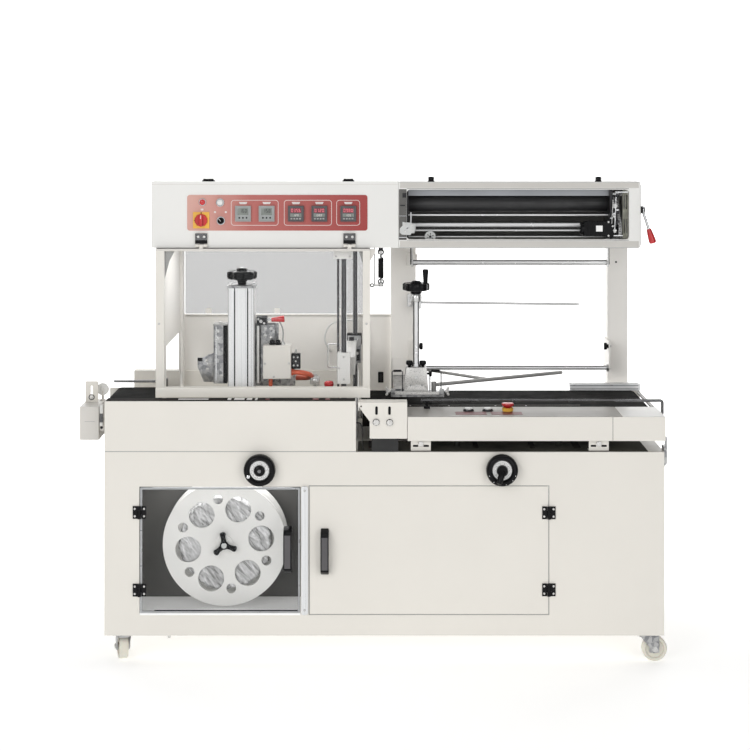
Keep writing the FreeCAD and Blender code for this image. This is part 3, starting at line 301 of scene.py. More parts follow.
# painted reflection: bright along the middle, dark towards the upper and lower or left and right flanks, set by the
# facing direction
nx = m.n.new("ShaderNodeSeparateXYZ"); m.l.new(m.n["Texture Coordinate"].outputs["Normal"], nx.inputs[0])
fa = m.math("ABSOLUTE", nx.outputs["Y"], 0.0)
m.color(m.mix(m.remap(fa, 0.70, 0.86), (0.035, 0.035, 0.038), (0.88, 0.885, 0.89)))
m.rough_vary(0.16, 0.28, 60); ROD_PAINTED_REFLECTION = m.m
# painted reflection: dark along the middle and bright on the flanks, set by the facing direction
m = Mat("dark_shaft_painted_reflection", (0.2, 0.2, 0.21), 0.2, 0.6)
nx = m.n.new("ShaderNodeSeparateXYZ"); m.l.new(m.n["Texture Coordinate"].outputs["Normal"], nx.inputs[0])
fa = m.math("ABSOLUTE", nx.outputs["Y"], 0.0)
m.color(m.mix(m.remap(fa, 0.45, 0.8), (0.80, 0.81, 0.82), (0.11, 0.11, 0.115)))
m.rough_vary(0.16, 0.28, 60); SHAFT_PAINTED_REFLECTION = m.m
m = Mat("soft_grey_rod", (0.50, 0.495, 0.485), 0.45, 0.2); m.vary(0.08, 40); m.rough_vary(0.38, 0.52, 60); SOFTR = m.m
m = Mat("aluminium_bright", (0.90, 0.905, 0.91), 0.36, 0.25); m.vary(0.05, 30); m.rough_vary(0.3, 0.44, 60); ALU_B = m.m
m = Mat("aluminium_dull", (0.42, 0.43, 0.44), 0.34, 0.6); m.vary(0.12, 25); m.rough_vary(0.26, 0.42, 60); ALU_D = m.m
# painted shade: darker bands for the film box's inward-bent lips above and below the mouth
m = Mat("box_band_painted_shade", (0.60, 0.58, 0.545), 0.36); m.vary(0.04, 4); m.rough_vary(0.3, 0.42, 20); m.bump(m.noise(650, 2), 0.1, 0.0004); BAND_PAINTED_SHADE = m.m
# painted light: a brighter copy of the cream for the hood's lower lip, lifted against the shade it sits in
m = Mat("lip_coat_painted_light", (0.92, 0.89, 0.83), 0.38); m.vary(0.02, 4); m.rough_vary(0.32, 0.44, 20); m.bump(m.noise(650, 2), 0.1, 0.0004); LIP_PAINTED_LIGHT = m.m
m = Mat("meter_pale_case", (0.34, 0.355, 0.35), 0.38); m.vary(0.05, 60); m.bump(m.noise(900, 2), 0.05, 0.0002); METERW = m.m
m = Mat("meter_dark_case", (0.09, 0.085, 0.09), 0.4); m.vary(0.1, 60); m.bump(m.noise(900, 2), 0.05, 0.0002); METERG = m.m
m = Mat("web_film", (0.42, 0.44, 0.47), 0.22); m.vary(0.12, 6); m.set("Coat Weight", 0.4); WEB = m.m
# painted shade: a near-black coat for the deck seen in shade under the infeed
m = Mat("deck_painted_shade_coat", (0.075, 0.072, 0.060), 0.7); m.vary(0.45, 7); m.bump(m.noise(300, 3), 0.1, 0.0003); m.set("Specular IOR Level", 0.15); DECK_PAINTED_SHADE = m.m
m = Mat("dial_white", (0.93, 0.93, 0.92), 0.3); m.vary(0.02, 60); m.bump(m.noise(900, 2), 0.04, 0.0002); DIAL = m.m
m = Mat("olive_zinc", (0.17, 0.17, 0.14), 0.4, 0.6); m.vary(0.25, 60); m.rough_vary(0.3, 0.5, 90); m.bump(m.noise(300, 3), 0.1, 0.0003); OLIVE = m.m
m = Mat("bright_wire", (0.82, 0.83, 0.84), 0.18, 0.85); m.vary(0.06, 60); m.rough_vary(0.14, 0.24, 90); WIRE = m.m
m = Mat("deck_shadow_paint", (0.024, 0.022, 0.020), 0.8); m.vary(0.2, 8); m.bump(m.noise(300, 3), 0.1, 0.0003); m.set("Specular IOR Level", 0.1); SHADE = m.m
# crinkled clear film: the streaks follow real creases, and their light and dark colour is painted highlights and
# painted shade on the folds
m = Mat("crinkled_film", (0.78, 0.79, 0.79), 0.16)
st = m.mapping((1 / 13, 1 / 40, 1 / 88), rot=(0, 0.75, 0))
st.node.vector_type = "TEXTURE"
sn = m.mapping((1 / 74, 1 / 30, 1 / 17), rot=(0, -0.45, 0))
sn.node.vector_type = "TEXTURE"
n1 = m.noise(1.0, 7, 0.62, st, 1.2)
n2 = m.noise(1.0, 5, 0.6, sn, 1.0)
cr = m.math("ADD", m.math("MULTIPLY", n1, 0.6), m.math("MULTIPLY", n2, 0.5))
m.color(m.mix(m.remap(cr, 0.40, 0.68), (0.17, 0.17, 0.165), (0.88, 0.88, 0.89)))
m.bump(cr, 1.0, 0.006)
m.set("Coat Weight", 0.8)
FILM = m.m


def give(o, *mats):
    o.data.materials.clear()
    for x in mats:
        o.data.materials.append(x)
    return o


# ------------------------------------------------------------------ mesh tools
def even_normals(o):
    """Flat faces stay flat next to a rounded edge."""
    k = o.modifiers.new("even", "WEIGHTED_NORMAL")
    k.mode = "FACE_AREA"
    k.weight = 100
    k.keep_sharp = True
    return k


def finish_mesh(name, bm, mat, body, smooth=True, angle=35, bevel=0.0, seg=2):
    me = bpy.data.meshes.new(name)
    bmesh.ops.recalc_face_normals(bm, faces=bm.faces)
    bm.to_mesh(me)
    bm.free()
    o = bpy.data.objects.new(name, me)
    scene.collection.objects.link(o)
    me.materials.append(mat)
    if bevel:
        b = o.modifiers.new("edge", "BEVEL")
        b.width = bevel / 1000
        b.segments = seg
        b.limit_method = "ANGLE"
        b.angle_limit = math.radians(30)
    if smooth:
        for p in me.polygons:
            p.use_smooth = True
        me.set_sharp_from_angle(angle=math.radians(angle))
    if bevel:
        even_normals(o)
    if body:
        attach(o, body)
    return o


def block(name, x0, x1, y0, y1, z0, z1, mat, body="frame", bevel=1.0, seg=2, taper=0.0):
    """A moulded or folded block with rounded edges; taper narrows it towards the operator."""
    bm = bmesh.new()
    vs = []
    for y, k in ((y0, taper), (y1, 0.0)):
        for x, z in ((x0 + k, z0 + k), (x1 - k, z0 + k), (x1 - k, z1 - k), (x0 + k, z1 - k)):
            vs.append(bm.verts.new(W(x, y, z)))
    for q in ((0, 1, 2, 3), (7, 6, 5, 4), (0, 4, 5, 1), (1, 5, 6, 2), (2, 6, 7, 3), (3, 7, 4, 0)):
        bm.faces.new([vs[i] for i in q])
    return finish_mesh(name, bm, mat, body, bevel=bevel, seg=seg)


def basis(axis):
    """Columns (u, v, w) with w along axis, as layout directions."""
    w = Vector(axis).normalized()
    h = Vector((0, 0, 1)) if abs(w.z) < 0.9 else Vector((0, 1, 0))
    u = h.cross(w).normalized()
    return u, w.cross(u), w


def lathe(name, centre, axis, profile, mat, body="frame", seg=48, bevel=0.0, angle=40):
    """Turned piece: profile is (radius, distance along axis) in mm, closed at radius 0."""
    c = Vector(centre)
    u, v, w = basis(axis)
    bm = bmesh.new()
    rings = []
    for r, h in profile:
        if r < 1e-6:
            p = c + w * h
            rings.append([bm.verts.new(W(*p))])
        else:
            ring = []
            for i in range(seg):
                a = 2 * math.pi * i / seg
                p = c + w * h + (u * math.cos(a) + v * math.sin(a)) * r
                ring.append(bm.verts.new(W(*p)))
            rings.append(ring)
    closed = profile[0] == profile[-1]
    if closed:
        for q in rings[-1]:
            bm.verts.remove(q)
        rings[-1] = rings[0]
    for a, b in zip(rings, rings[1:]):
        for i in range(seg):
            j = (i + 1) % seg
            if len(a) == 1 and len(b) == 1:
                continue
            if len(a) == 1:
                bm.faces.new((a[0], b[i], b[j]))
            elif len(b) == 1:
                bm.faces.new((a[i], a[j], b[0]))
            else:
                bm.faces.new((a[i], a[j], b[j], b[i]))
    return finish_mesh(name, bm, mat, body, angle=angle, bevel=bevel)


def disc_profile(r, length, edge=0.8):
    return [(0, 0), (r - edge, 0), (r, edge), (r, length - edge), (r - edge, length), (0, length)]


def bar(name, a, b, rad, mat, body="frame", seg=24, edge=0.6):
    a, b = Vector(a), Vector(b)
    e = min(edge, rad * 0.4)
    return lathe(name, a, b - a, disc_profile(rad, (b - a).length, e), mat, body, seg)


def tube(name, pts, rad, mat, body="frame", fillet=0.0, seg=10, res=6, caps=True):
    """A bent bar, wire or hose through the points, corners rounded to fillet (mm)."""
    P = [Vector(p) for p in pts]
    path = [P[0]]
    for i in range(1, len(P) - 1):
        u, v = P[i - 1] - P[i], P[i + 1] - P[i]
        k = min(fillet, u.length * 0.49, v.length * 0.49)
        if k < 0.05:
            path.append(P[i])
            continue
        a, c = P[i] + u.normalized() * k, P[i] + v.normalized() * k
        for t in range(res + 1):
            s = t / res
            path.append(a * (1 - s) ** 2 + P[i] * 2 * s * (1 - s) + c * s * s)
    path.append(P[-1])
    bm = bmesh.new()
    rings = []
    t0 = (path[1] - path[0]).normalized()
    u, v, _ = basis(t0)
    for i, p in enumerate(path):
        if i == 0:
            t = t0
        elif i == len(path) - 1:
            t = (path[i] - path[i - 1]).normalized()
        else:
            t = ((path[i + 1] - path[i]).normalized() + (path[i] - path[i - 1]).normalized()).normalized()
        u = (u - t * u.dot(t)).normalized()
        v = t.cross(u)
        rings.append([bm.verts.new(W(*(p + (u * math.cos(2 * math.pi * k / seg) + v * math.sin(2 * math.pi * k / seg)) * rad))) for k in range(seg)])
    for a, b in zip(rings, rings[1:]):
        for k in range(seg):
            bm.faces.new((a[k], a[(k + 1) % seg], b[(k + 1) % seg], b[k]))
    if caps:
        bm.faces.new(rings[0][::-1])
        bm.faces.new(rings[-1])
    return finish_mesh(name, bm, mat, body, angle=50)


def plate(name, outline, holes, normal, level, thick, mat, body="frame", bevel=0.5):
    """A flat sheet cut to an outline with holes; normal X, Y or Z; level is its low side.
    Outline points are the two layout axes left over, in X, Y, Z order."""
    cu = bpy.data.curves.new(name + "_c", "CURVE")
    cu.dimensions = "2D"
    cu.fill_mode = "BOTH"
    for loop in [outline] + list(holes):
        sp = cu.splines.new("POLY")
        sp.points.add(len(loop) - 1)
        for q, (a, b) in zip(sp.points, loop):
            q.co = (a, b, 0, 1)
        sp.use_cyclic_u = True
    e = min(bevel, thick * 0.45)
    cu.extrude = thick / 2 - e
    cu.bevel_depth = e
    cu.bevel_resolution = 1
    cu.offset = -e
    tmp = bpy.data.objects.new(name + "_t", cu)
    scene.collection.objects.link(tmp)
    dg = bpy.context.evaluated_depsgraph_get()
    me = bpy.data.meshes.new_from_object(tmp.evaluated_get(dg))
    bpy.data.objects.remove(tmp)
    bpy.data.curves.remove(cu)
    mid = level + thick / 2
    for vtx in me.vertices:
        a, b, c = vtx.co
        if normal == "Y":
            vtx.co = W(a, mid - c, b)
        elif normal == "Z":
            vtx.co = W(a, b, mid + c)
        else:
            vtx.co = W(mid + c, a, b)
    bm = bmesh.new()
    bm.from_mesh(me)
    bpy.data.meshes.remove(me)
    bmesh.ops.remove_doubles(bm, verts=bm.verts, dist=1e-6)
    return finish_mesh(name, bm, mat, body, angle=30)


def circ(cx, cy, r, n=28):
    return [(cx + r * math.cos(2 * math.pi * i / n), cy + r * math.sin(2 * math.pi * i / n)) for i in range(n)]


def rrect(x0, x1, y0, y1, r, n=6):
    pts = []
    for cx, cy, a0 in ((x1 - r, y0 + r, -90), (x1 - r, y1 - r, 0), (x0 + r, y1 - r, 90), (x0 + r, y0 + r, 180)):
        for i in range(n + 1):
            a = math.radians(a0 + 90 * i / n)
            pts.append((cx + r * math.cos(a), cy + r * math.sin(a)))
    return pts


def slot_loop(cx, cy, length, r, upright=False, n=8):
    k = length / 2 - r
    pts = []
    for s, a0 in ((1, -90), (-1, 90)):
        for i in range(n + 1):
            a = math.radians(a0 + 180 * i / n)
            px, py = s * k + r * math.cos(a), r * math.sin(a)
            pts.append((cx - py, cy + px) if upright else (cx + px, cy + py))
    return pts


def join(name, objs, body):
    """One piece from several that share one body; materials are kept."""
    dg = bpy.context.evaluated_depsgraph_get()
    bm = bmesh.new()
    mats = []
    for o in objs:
        me = bpy.data.meshes.new_from_object(o.evaluated_get(dg), depsgraph=dg)
        me.transform(o.matrix_world)
        base = []
        for mt in me.materials:
            if mt not in mats:
                mats.append(mt)
            base.append(mats.index(mt))
        for p in me.polygons:
            p.material_index = base[p.material_index] if base else 0
        bm.from_mesh(me)
        bpy.data.meshes.remove(me)
    for o in objs:
        d = o.data
        bpy.data.objects.remove(o)
        if d.users == 0:
            bpy.data.meshes.remove(d)
    me = bpy.data.meshes.new(name)
    bm.to_mesh(me)
    bm.free()
    for mt in mats:
        me.materials.append(mt)
    out = bpy.data.objects.new(name, me)
    scene.collection.objects.link(out)
    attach(out, body)
    return out


def screws(name, places, r, axis, mat, body="frame", head=2.2, kind="pan", seg=20):
    """A set of screw heads; axis points out of the surface they sit on."""
    objs = []
    for i, c in enumerate(places):
        c = Vector(c)
        u, v, w = basis(axis)
        if kind == "hex":
            o = lathe("%s_%d" % (name, i), c, axis, [(0, 0), (r * 1.35, 0), (r * 1.35, 0.8), (r, 0.8), (r, head - 0.6), (r * 0.8, head), (0, head)], mat, None, 6)
        elif kind == "socket":
            o = lathe("%s_%d" % (name, i), c, axis, [(0, 0), (r, 0), (r, head - 0.5), (r - 0.5, head), (r * 0.5, head), (r * 0.5, head * 0.4), (0, head * 0.4)], mat, None, seg)
        else:
            o = lathe("%s_%d" % (name, i), c, axis, [(0, 0), (r, 0), (r, head * 0.35), (r * 0.85, head * 0.75), (r * 0.5, head), (r * 0.22, head), (r * 0.2, head * 0.55), (0, head * 0.55)], mat, None, seg)
        objs.append(o)
    return join(name, objs, body)


def dress(node, *mats, width=0.8, seg=2, weld=True, flat=False):
    """A CAD node keeps its mesh and gets rounded edges and its finish."""
    o = NODES[node]
    give(o, *mats)
    if weld:
        wd = o.modifiers.new("weld", "WELD")
        wd.merge_threshold = 0.00002
    b = o.modifiers.new("edge", "BEVEL")
    b.width = width / 1000
    b.segments = seg
    b.limit_method = "ANGLE"
    b.angle_limit = math.radians(40)
    b.use_clamp_overlap = True
    if flat:
        for p in o.data.polygons:
            p.use_smooth = False
    return o


def islands(node, body=None, width=0.6, keep=True):
    """Copies of a CAD node's separate solids, each a piece of its own: [(object, low, high)] in layout mm."""
    src = NODES[node]
    body = body or src["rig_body"]
    bm = bmesh.new()
    bm.from_mesh(src.data)
    bmesh.ops.remove_doubles(bm, verts=bm.verts, dist=0.00001)
    seen, groups = set(), []
    bm.verts.ensure_lookup_table()
    for v0 in bm.verts:
        if v0.index in seen:
            continue
        stack, grp = [v0], []
        seen.add(v0.index)
        while stack:
            q = stack.pop()
            grp.append(q)
            for e in q.link_edges:
                r = e.other_vert(q)
                if r.index not in seen:
                    seen.add(r.index)
                    stack.append(r)
        groups.append(grp)
    out = []
    for k, grp in enumerate(groups):
        ids = {q.index: i for i, q in enumerate(grp)}
        faces = {f for q in grp for f in q.link_faces}
        me = bpy.data.meshes.new("%s_%02d" % (node, k))
        me.from_pydata([q.co[:] for q in grp], [], [[ids[q.index] for q in f.verts] for f in faces])
        b2 = bmesh.new()
        b2.from_mesh(me)
        bmesh.ops.dissolve_limit(b2, angle_limit=math.radians(1), verts=b2.verts, edges=b2.edges)
        bmesh.ops.recalc_face_normals(b2, faces=b2.faces)
        b2.to_mesh(me)
        b2.free()
        o = bpy.data.objects.new("%s_%02d" % (node, k), me)
        scene.collection.objects.link(o)
        for p in me.polygons:
            p.use_smooth = True
        me.set_sharp_from_angle(angle=math.radians(35))
        if width:
            b = o.modifiers.new("edge", "BEVEL")
            b.width = width / 1000
            b.segments = 2
            b.limit_method = "ANGLE"
            b.angle_limit = math.radians(40)
            even_normals(o)
        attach(o, body)
        lo = Vector((min(q.co[i] for q in grp) for i in range(3))) * 1000 - Vector((SX, SY, 0))
        hi = Vector((max(q.co[i] for q in grp) for i in range(3))) * 1000 - Vector((SX, SY, 0))
        out.append((o, lo, hi))
    bm.free()
    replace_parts(out[0][0], node)
    return out

# ------------------------------------------------------------------ small builders
def boxes(name, items, mat, body="frame", bevel=0.0):
    """Many small blocks in one piece: (x0, x1, y0, y1, z0, z1)."""
    bm = bmesh.new()
    for x0, x1, y0, y1, z0, z1 in items:
        vs = [bm.verts.new(W(x, y, z)) for y in (y0, y1) for x, z in ((x0, z0), (x1, z0), (x1, z1), (x0, z1))]
        for q in ((0, 1, 2, 3), (7, 6, 5, 4), (0, 4, 5, 1), (1, 5, 6, 2), (2, 6, 7, 3), (3, 7, 4, 0)):
            bm.faces.new([vs[i] for i in q])
    return finish_mesh(name, bm, mat, body, smooth=False, bevel=bevel)


# ------------------------------------------------------------------ CAD nodes that keep their shape
for o, lo, hi in islands("cabinet_shell", width=0):
    give(o, CREAM)
dress("reel_bay_liner", LINER, width=0.6, flat=True)
for o, lo, hi in islands("control_box", width=0):
    give(o, WHITE)
dress("film_box", WHITE, width=1.5, seg=2, flat=True)
for o, lo, hi in islands("panel_door", width=0):
    give(o, CREAM)
dress("hood_frame", CREAM, width=1.0, flat=True)
dress("window_pane", ACRYL, width=0.5, flat=True)
dress("hood_window", ACRYL, width=0.5, flat=True)
dress("rear_pane", SMOKED, width=0.5, flat=True)
dress("infeed_belt", BELT, width=0.4)
dress("outfeed_belt", BELT, width=0.4)
dress("infeed_drive_roller", STEEL_Y, width=0.6)
dress("outfeed_drive_roller", STEEL_Y, width=0.6)
dress("lift_posts", CHROME, width=0.8)
dress("path_roller", ROD_PAINTED_REFLECTION, width=0.6)
dress("rubber_roller", RUBBER, width=0.8)
dress("pressure_roller", ROD_PAINTED_REFLECTION, width=0.8)
dress("control_fascia", FASCIA, width=0.3, flat=True)
for o, lo, hi in islands("side_covers", width=1.4):
    give(o, CREAM)
for o, lo, hi in islands("head_posts", width=1.4):
    give(o, CREAM_PAINTED_LIGHT)

# ------------------------------------------------------------------ cabinet front
block("bay_floor", -742, -215, 5, 193, 150.2, 153.5, BAY_FLOOR_GLOW, bevel=0.5)
block("bay_floor_lip", -706, -224, -0.5, 4, 149.5, 157, BAY_FLOOR_GLOW, bevel=0.8)
for o, lo, hi in islands("front_brackets", width=0.5):
    if lo.x < -200 and lo.z < 200:
        give(o, mull := ALU_Z)
        o.modifiers["edge"].width = 0.0006
    elif hi.z > 786 and lo.z > 780:
        give(o, CREAM_PAINTED_SHADE)
    elif hi.y < 3 and hi.z - lo.z < 20:
        give(o, BOX_STEEL)
    elif hi.x - lo.x < 20:
        give(o, BOX_STEEL)
    elif lo.y >= 3 and lo.x < 100:
        give(o, DARK)
    else:
        give(o, CREAM)
screws("mullion_screws", [(-210.7, -8, 524), (-210.7, -8, 166)], 3.6, (0, -1, 0), SCREW)
screws("junction_screws", [(3.6, -5, 728.4), (44, -5, 727.5)], 7.4, (0, -1, 0), SCREWW, kind="hex", head=4)
lathe("junction_washer_l", (3.6, 0, 728.4), (0, -1, 0), [(8.2, 0), (10.4, 0), (10.4, 0.9), (8.2, 0.9), (8.2, 0)], BLACK, "frame", 36)
lathe("junction_washer_r", (44, 0, 727.5), (0, -1, 0), [(8.2, 0), (10.4, 0), (10.4, 0.9), (8.2, 0.9), (8.2, 0)], BLACK, "frame", 36)
# dark slots in the brackets: painted shade
boxes("junction_slot_dark", [(1.2, 7.8, 1.9, 2.7, 751, 775), (40.2, 46.8, 1.9, 2.7, 751, 775)], BLACK)
screws("foot_screws", [(138, 8, 662), (673, 8, 662)], 6.4, (0, -1, 0), SCREWW, kind="hex", head=3)
boxes("foot_slot_dark", [(x + d, x + d + 15, 12.6, 13.4, 652.4, 657.6) for x in (138, 673) for d in (-23.5, 8.5)], BLACK)

# rear and end details: panel screws, lifting handles are not fitted
screws("rear_panel_screws", [(x, 703, z) for x in (-690, -330, 30, 390, 740) for z in (158, 582)], 4.5, (0, 1, 0), SCREW)
boxes("cover_top_shadow", [(-809, -60, 3.4, 59.6, 790.7, 791.5)], SHADE)
boxes("cover_gap_bits", [(-594, -503, 30, 44, 791.2, 792.4), (-445, -434, 24, 52, 791.2, 793), (-425, -394, 24, 52, 791.2, 793), (-387, -371, 24, 52, 791.2, 793), (-362, -355, 20, 56, 791.2, 793)], WHITE)
boxes("cover_gap_marks", [(-330, -318, 24, 40, 791.2, 793.4), (-188, -170, 24, 50, 791.2, 793), (-150, -136, 24, 46, 791.2, 793)], STRIP)
# the seam under the side cover, its dark line painted shadow
boxes("cover_lower_seam", [(-811.6, -58, -0.25, 0.6, 639.3, 641.4)], GUSSET)
boxes("door_gap_gasket", [(-198.9, -196.4, 1.6, 2.6, 150.1, 538.9), (520.4, 522.9, 1.6, 2.6, 150.1, 538.9), (-196.3, 520.3, 1.6, 2.6, 150.1, 152.6), (-196.3, 520.3, 1.6, 2.6, 536.4, 538.9)], GUSSET)
boxes("cabinet_top_seam", [(-58, 867.6, -0.2, 0.5, 637.6, 638.6)], CREAM2)

# hinges: black leaves with white screw heads
for o, lo, hi in islands("hinge_bases", width=0.5):
    give(o, CREAM if lo.z > 1200 else BLACK)
sc = []
for z in (458, 225):
    sc += [(-720.5, -3, z + 11), (-720.5, -3, z - 11)]
for z in (457, 226):
    sc += [(535.5, -3, z + 11), (535.5, -3, z - 11)]
screws("hinge_screws_fixed", sc, 3.3, (0, -1, 0), SCREWW, head=1.6)
screws("window_hinge_screws", [(-692.5, -3, z + d) for z in (458, 225) for d in (-11, 11)], 3.3, (0, -1, 0), SCREWW, "window_door", head=1.6)
screws("side_door_hinge_screws", [(507.5, -3, z + d) for z in (457, 226) for d in (-11, 11)], 3.3, (0, -1, 0), SCREWW, "side_door", head=1.6)
screws("hood_hinge_screws", [(x + d, 91.6, 1278.5) for x in (-530.5, -78) for d in (-9, 9)], 4.0, (0, -1, 0), WPLAST, head=3.4)


def bridge_handle(name, x0, x1, z0, z1, y0, body):
    """A moulded bow handle: side outline in Y and Z, as wide as x0 to x1."""
    H = z1 - z0
    out, inn = [], []
    N = 18
    for i in range(N + 1):
        t = i / N
        s = min(1.0, min(t, 1 - t) / 0.13)
        k = 1 - (1 - s) ** 2.2
        out.append((y0 - 33.5 * k, z0 + H * t))
    z_in0, z_in1 = z0 + 19, z1 - 19
    for i in range(N + 1):
        t = 1 - i / N
        s = min(1.0, min(t, 1 - t) / 0.14)
        k = 1 - (1 - s) ** 2.4
        inn.append((y0 - 22.5 * k, z_in0 + (z_in1 - z_in0) * t))
    loop = [(y0, z0)] + out[1:-1] + [(y0, z1)] + [(y0, z_in1)] + inn[1:-1] + [(y0, z_in0)]
    o = plate(name, loop, [], "X", x0, x1 - x0, BLACKG, body, bevel=3.2)
    return o


h = bridge_handle("window_handle", -274, -249, 276, 417, 0, "window_door")
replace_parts(h, "window_fittings")
for z in (458, 225):
    k = join("window_hinge_leaf_%d" % z, [block("a", -700.9, -686.5, -3, 0, z - 19, z + 19, BLACK, None, 0.5), block("b", -706, -700, -3, 0, z - 6.4, z + 6.4, BLACK, None, 0.3),
             lathe("c", (-706.5, -5, z - 6.4), (0, 0, 1), [(2.7, 0), (5, 0), (5, 12.8), (2.7, 12.8), (2.7, 0)], BLACK, None, 24)], "window_door")
h = bridge_handle("side_door_handle", -163, -138, 271, 410, 0, "side_door")
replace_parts(h, "panel_door_fittings")
for z in (457, 226):
    k = join("side_door_hinge_leaf_%d" % z, [block("a", 501.5, 515.9, -3, 0, z - 19, z + 19, BLACK, None, 0.5), block("b", 515, 521, -3, 0, z - 6.4, z + 6.4, BLACK, None, 0.3),
             lathe("c", (521.5, -5, z - 6.4), (0, 0, 1), [(2.7, 0), (5, 0), (5, 12.8), (2.7, 12.8), (2.7, 0)], BLACK, None, 24)], "side_door")
boxes("window_handle_grip", [(-270.5, -252.5, -34.1, -33.0, 297, 396)], METERG, "window_door", bevel=0.3)
boxes("side_door_handle_grip", [(-159.5, -141.5, -34.1, -33.0, 292, 389)], METERG, "side_door", bevel=0.3)
screws("handle_screws_window", [(-261.5, -6, 283), (-261.5, -6, 410)], 3.0, (0, -1, 0), SCREW, "window_door", head=1.2, kind="socket")
screws("handle_screws_door", [(-150.5, -6, 278), (-150.5, -6, 403)], 3.0, (0, -1, 0), SCREW, "side_door", head=1.2, kind="socket")

# ------------------------------------------------------------------ reel
RX, RZ = -456, 349
for o, lo, hi in islands("waste_reel", width=0.8):
    if hi.x - lo.x > 300:
        give(o, REELM)
    elif hi.x - lo.x > 70 and hi.y - lo.y > 50:
        give(o, REELM)
    elif hi.y > 200:
        give(o, STEEL_Y)
    else:
        bpy.data.objects.remove(o)
lathe("reel_hub", (RX, 58, RZ), (0, -1, 0), [(0, 0), (27, 0), (26, 3), (17, 5), (16, 9), (0, 9)], REELM, "reel")
arms = [lathe("k0", (RX, 49, RZ), (0, -1, 0), [(0, 0), (12, 0), (13, 3), (13, 10), (11, 13), (0, 13)], BLACKG, None, 32)]
for d in (98, 222, -19):
    a = math.radians(d)
    dx, dz = math.cos(a), math.sin(a)
    arms.append(lathe("k1", (RX, 42, RZ), (dx, 0, dz), [(0, 6), (8.5, 8), (7.4, 18), (7.6, 26), (9.4, 31), (8.8, 36), (5.4, 39), (0, 39.6)], BLACKG, None, 20))
arms.append(lathe("k2", (RX, 36.2, RZ), (0, -1, 0), [(0, 0), (8.6, 0), (8.2, 2), (5, 3.4), (0, 3.8)], GPLAST, None, 28))
join("reel_knob", arms, "reel")

# crinkled waste film wound between the discs
bm = bmesh.new()
n_a, n_y, rings = 160, 26, []
for j in range(n_y + 1):
    y = 66.5 + 80 * j / n_y
    row = []
    for i in range(n_a):
        a = 2 * math.pi * i / n_a
        p = Vector((math.cos(a) * 2.2, y * 0.035, math.sin(a) * 2.2))
        r = 136 + 10 * noise.noise(p * 1.7) + 6 * noise.noise(p * 5.1) + 2.6 * noise.noise(p * 12)
        r = min(r, 148)
        row.append(bm.verts.new(W(RX + r * math.cos(a), y, RZ + r * math.sin(a))))
    rings.append(row)
for a, b in zip(rings, rings[1:]):
    for i in range(n_a):
        bm.faces.new((a[i], b[i], b[(i + 1) % n_a], a[(i + 1) % n_a]))
for row, y0, sgn in ((rings[0], 66.5, -1), (rings[-1], 146.5, 1)):
    prev = row
    for rr in (128, 120, 112, 104, 96, 88, 80, 72, 64, 56, 48, 41):
        new = []
        for i in range(n_a):
            a = 2 * math.pi * i / n_a
            p = Vector((math.cos(a) * rr * 0.05, 3.0 * sgn, math.sin(a) * rr * 0.05))
            y = y0 - sgn * (2.2 + 2.6 * noise.noise(p * 1.3) + 1.6 * noise.noise(p * 3.7))
            y = y + (0 if sgn > 0 else 0)
            new.append(bm.verts.new(W(RX + rr * math.cos(a), y, RZ + rr * math.sin(a))))
        for i in range(n_a):
            bm.faces.new((prev[i], prev[(i + 1) % n_a], new[(i + 1) % n_a], new[i]))
        prev = new
    if sgn < 0:
        inner0 = prev
    else:
        inner1 = prev
for i in range(n_a):
    bm.faces.new((inner0[i], inner0[(i + 1) % n_a], inner1[(i + 1) % n_a], inner1[i]))
wf = finish_mesh("waste_film_roll", bm, FILM, "reel", angle=180)
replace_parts(wf, "waste_film")


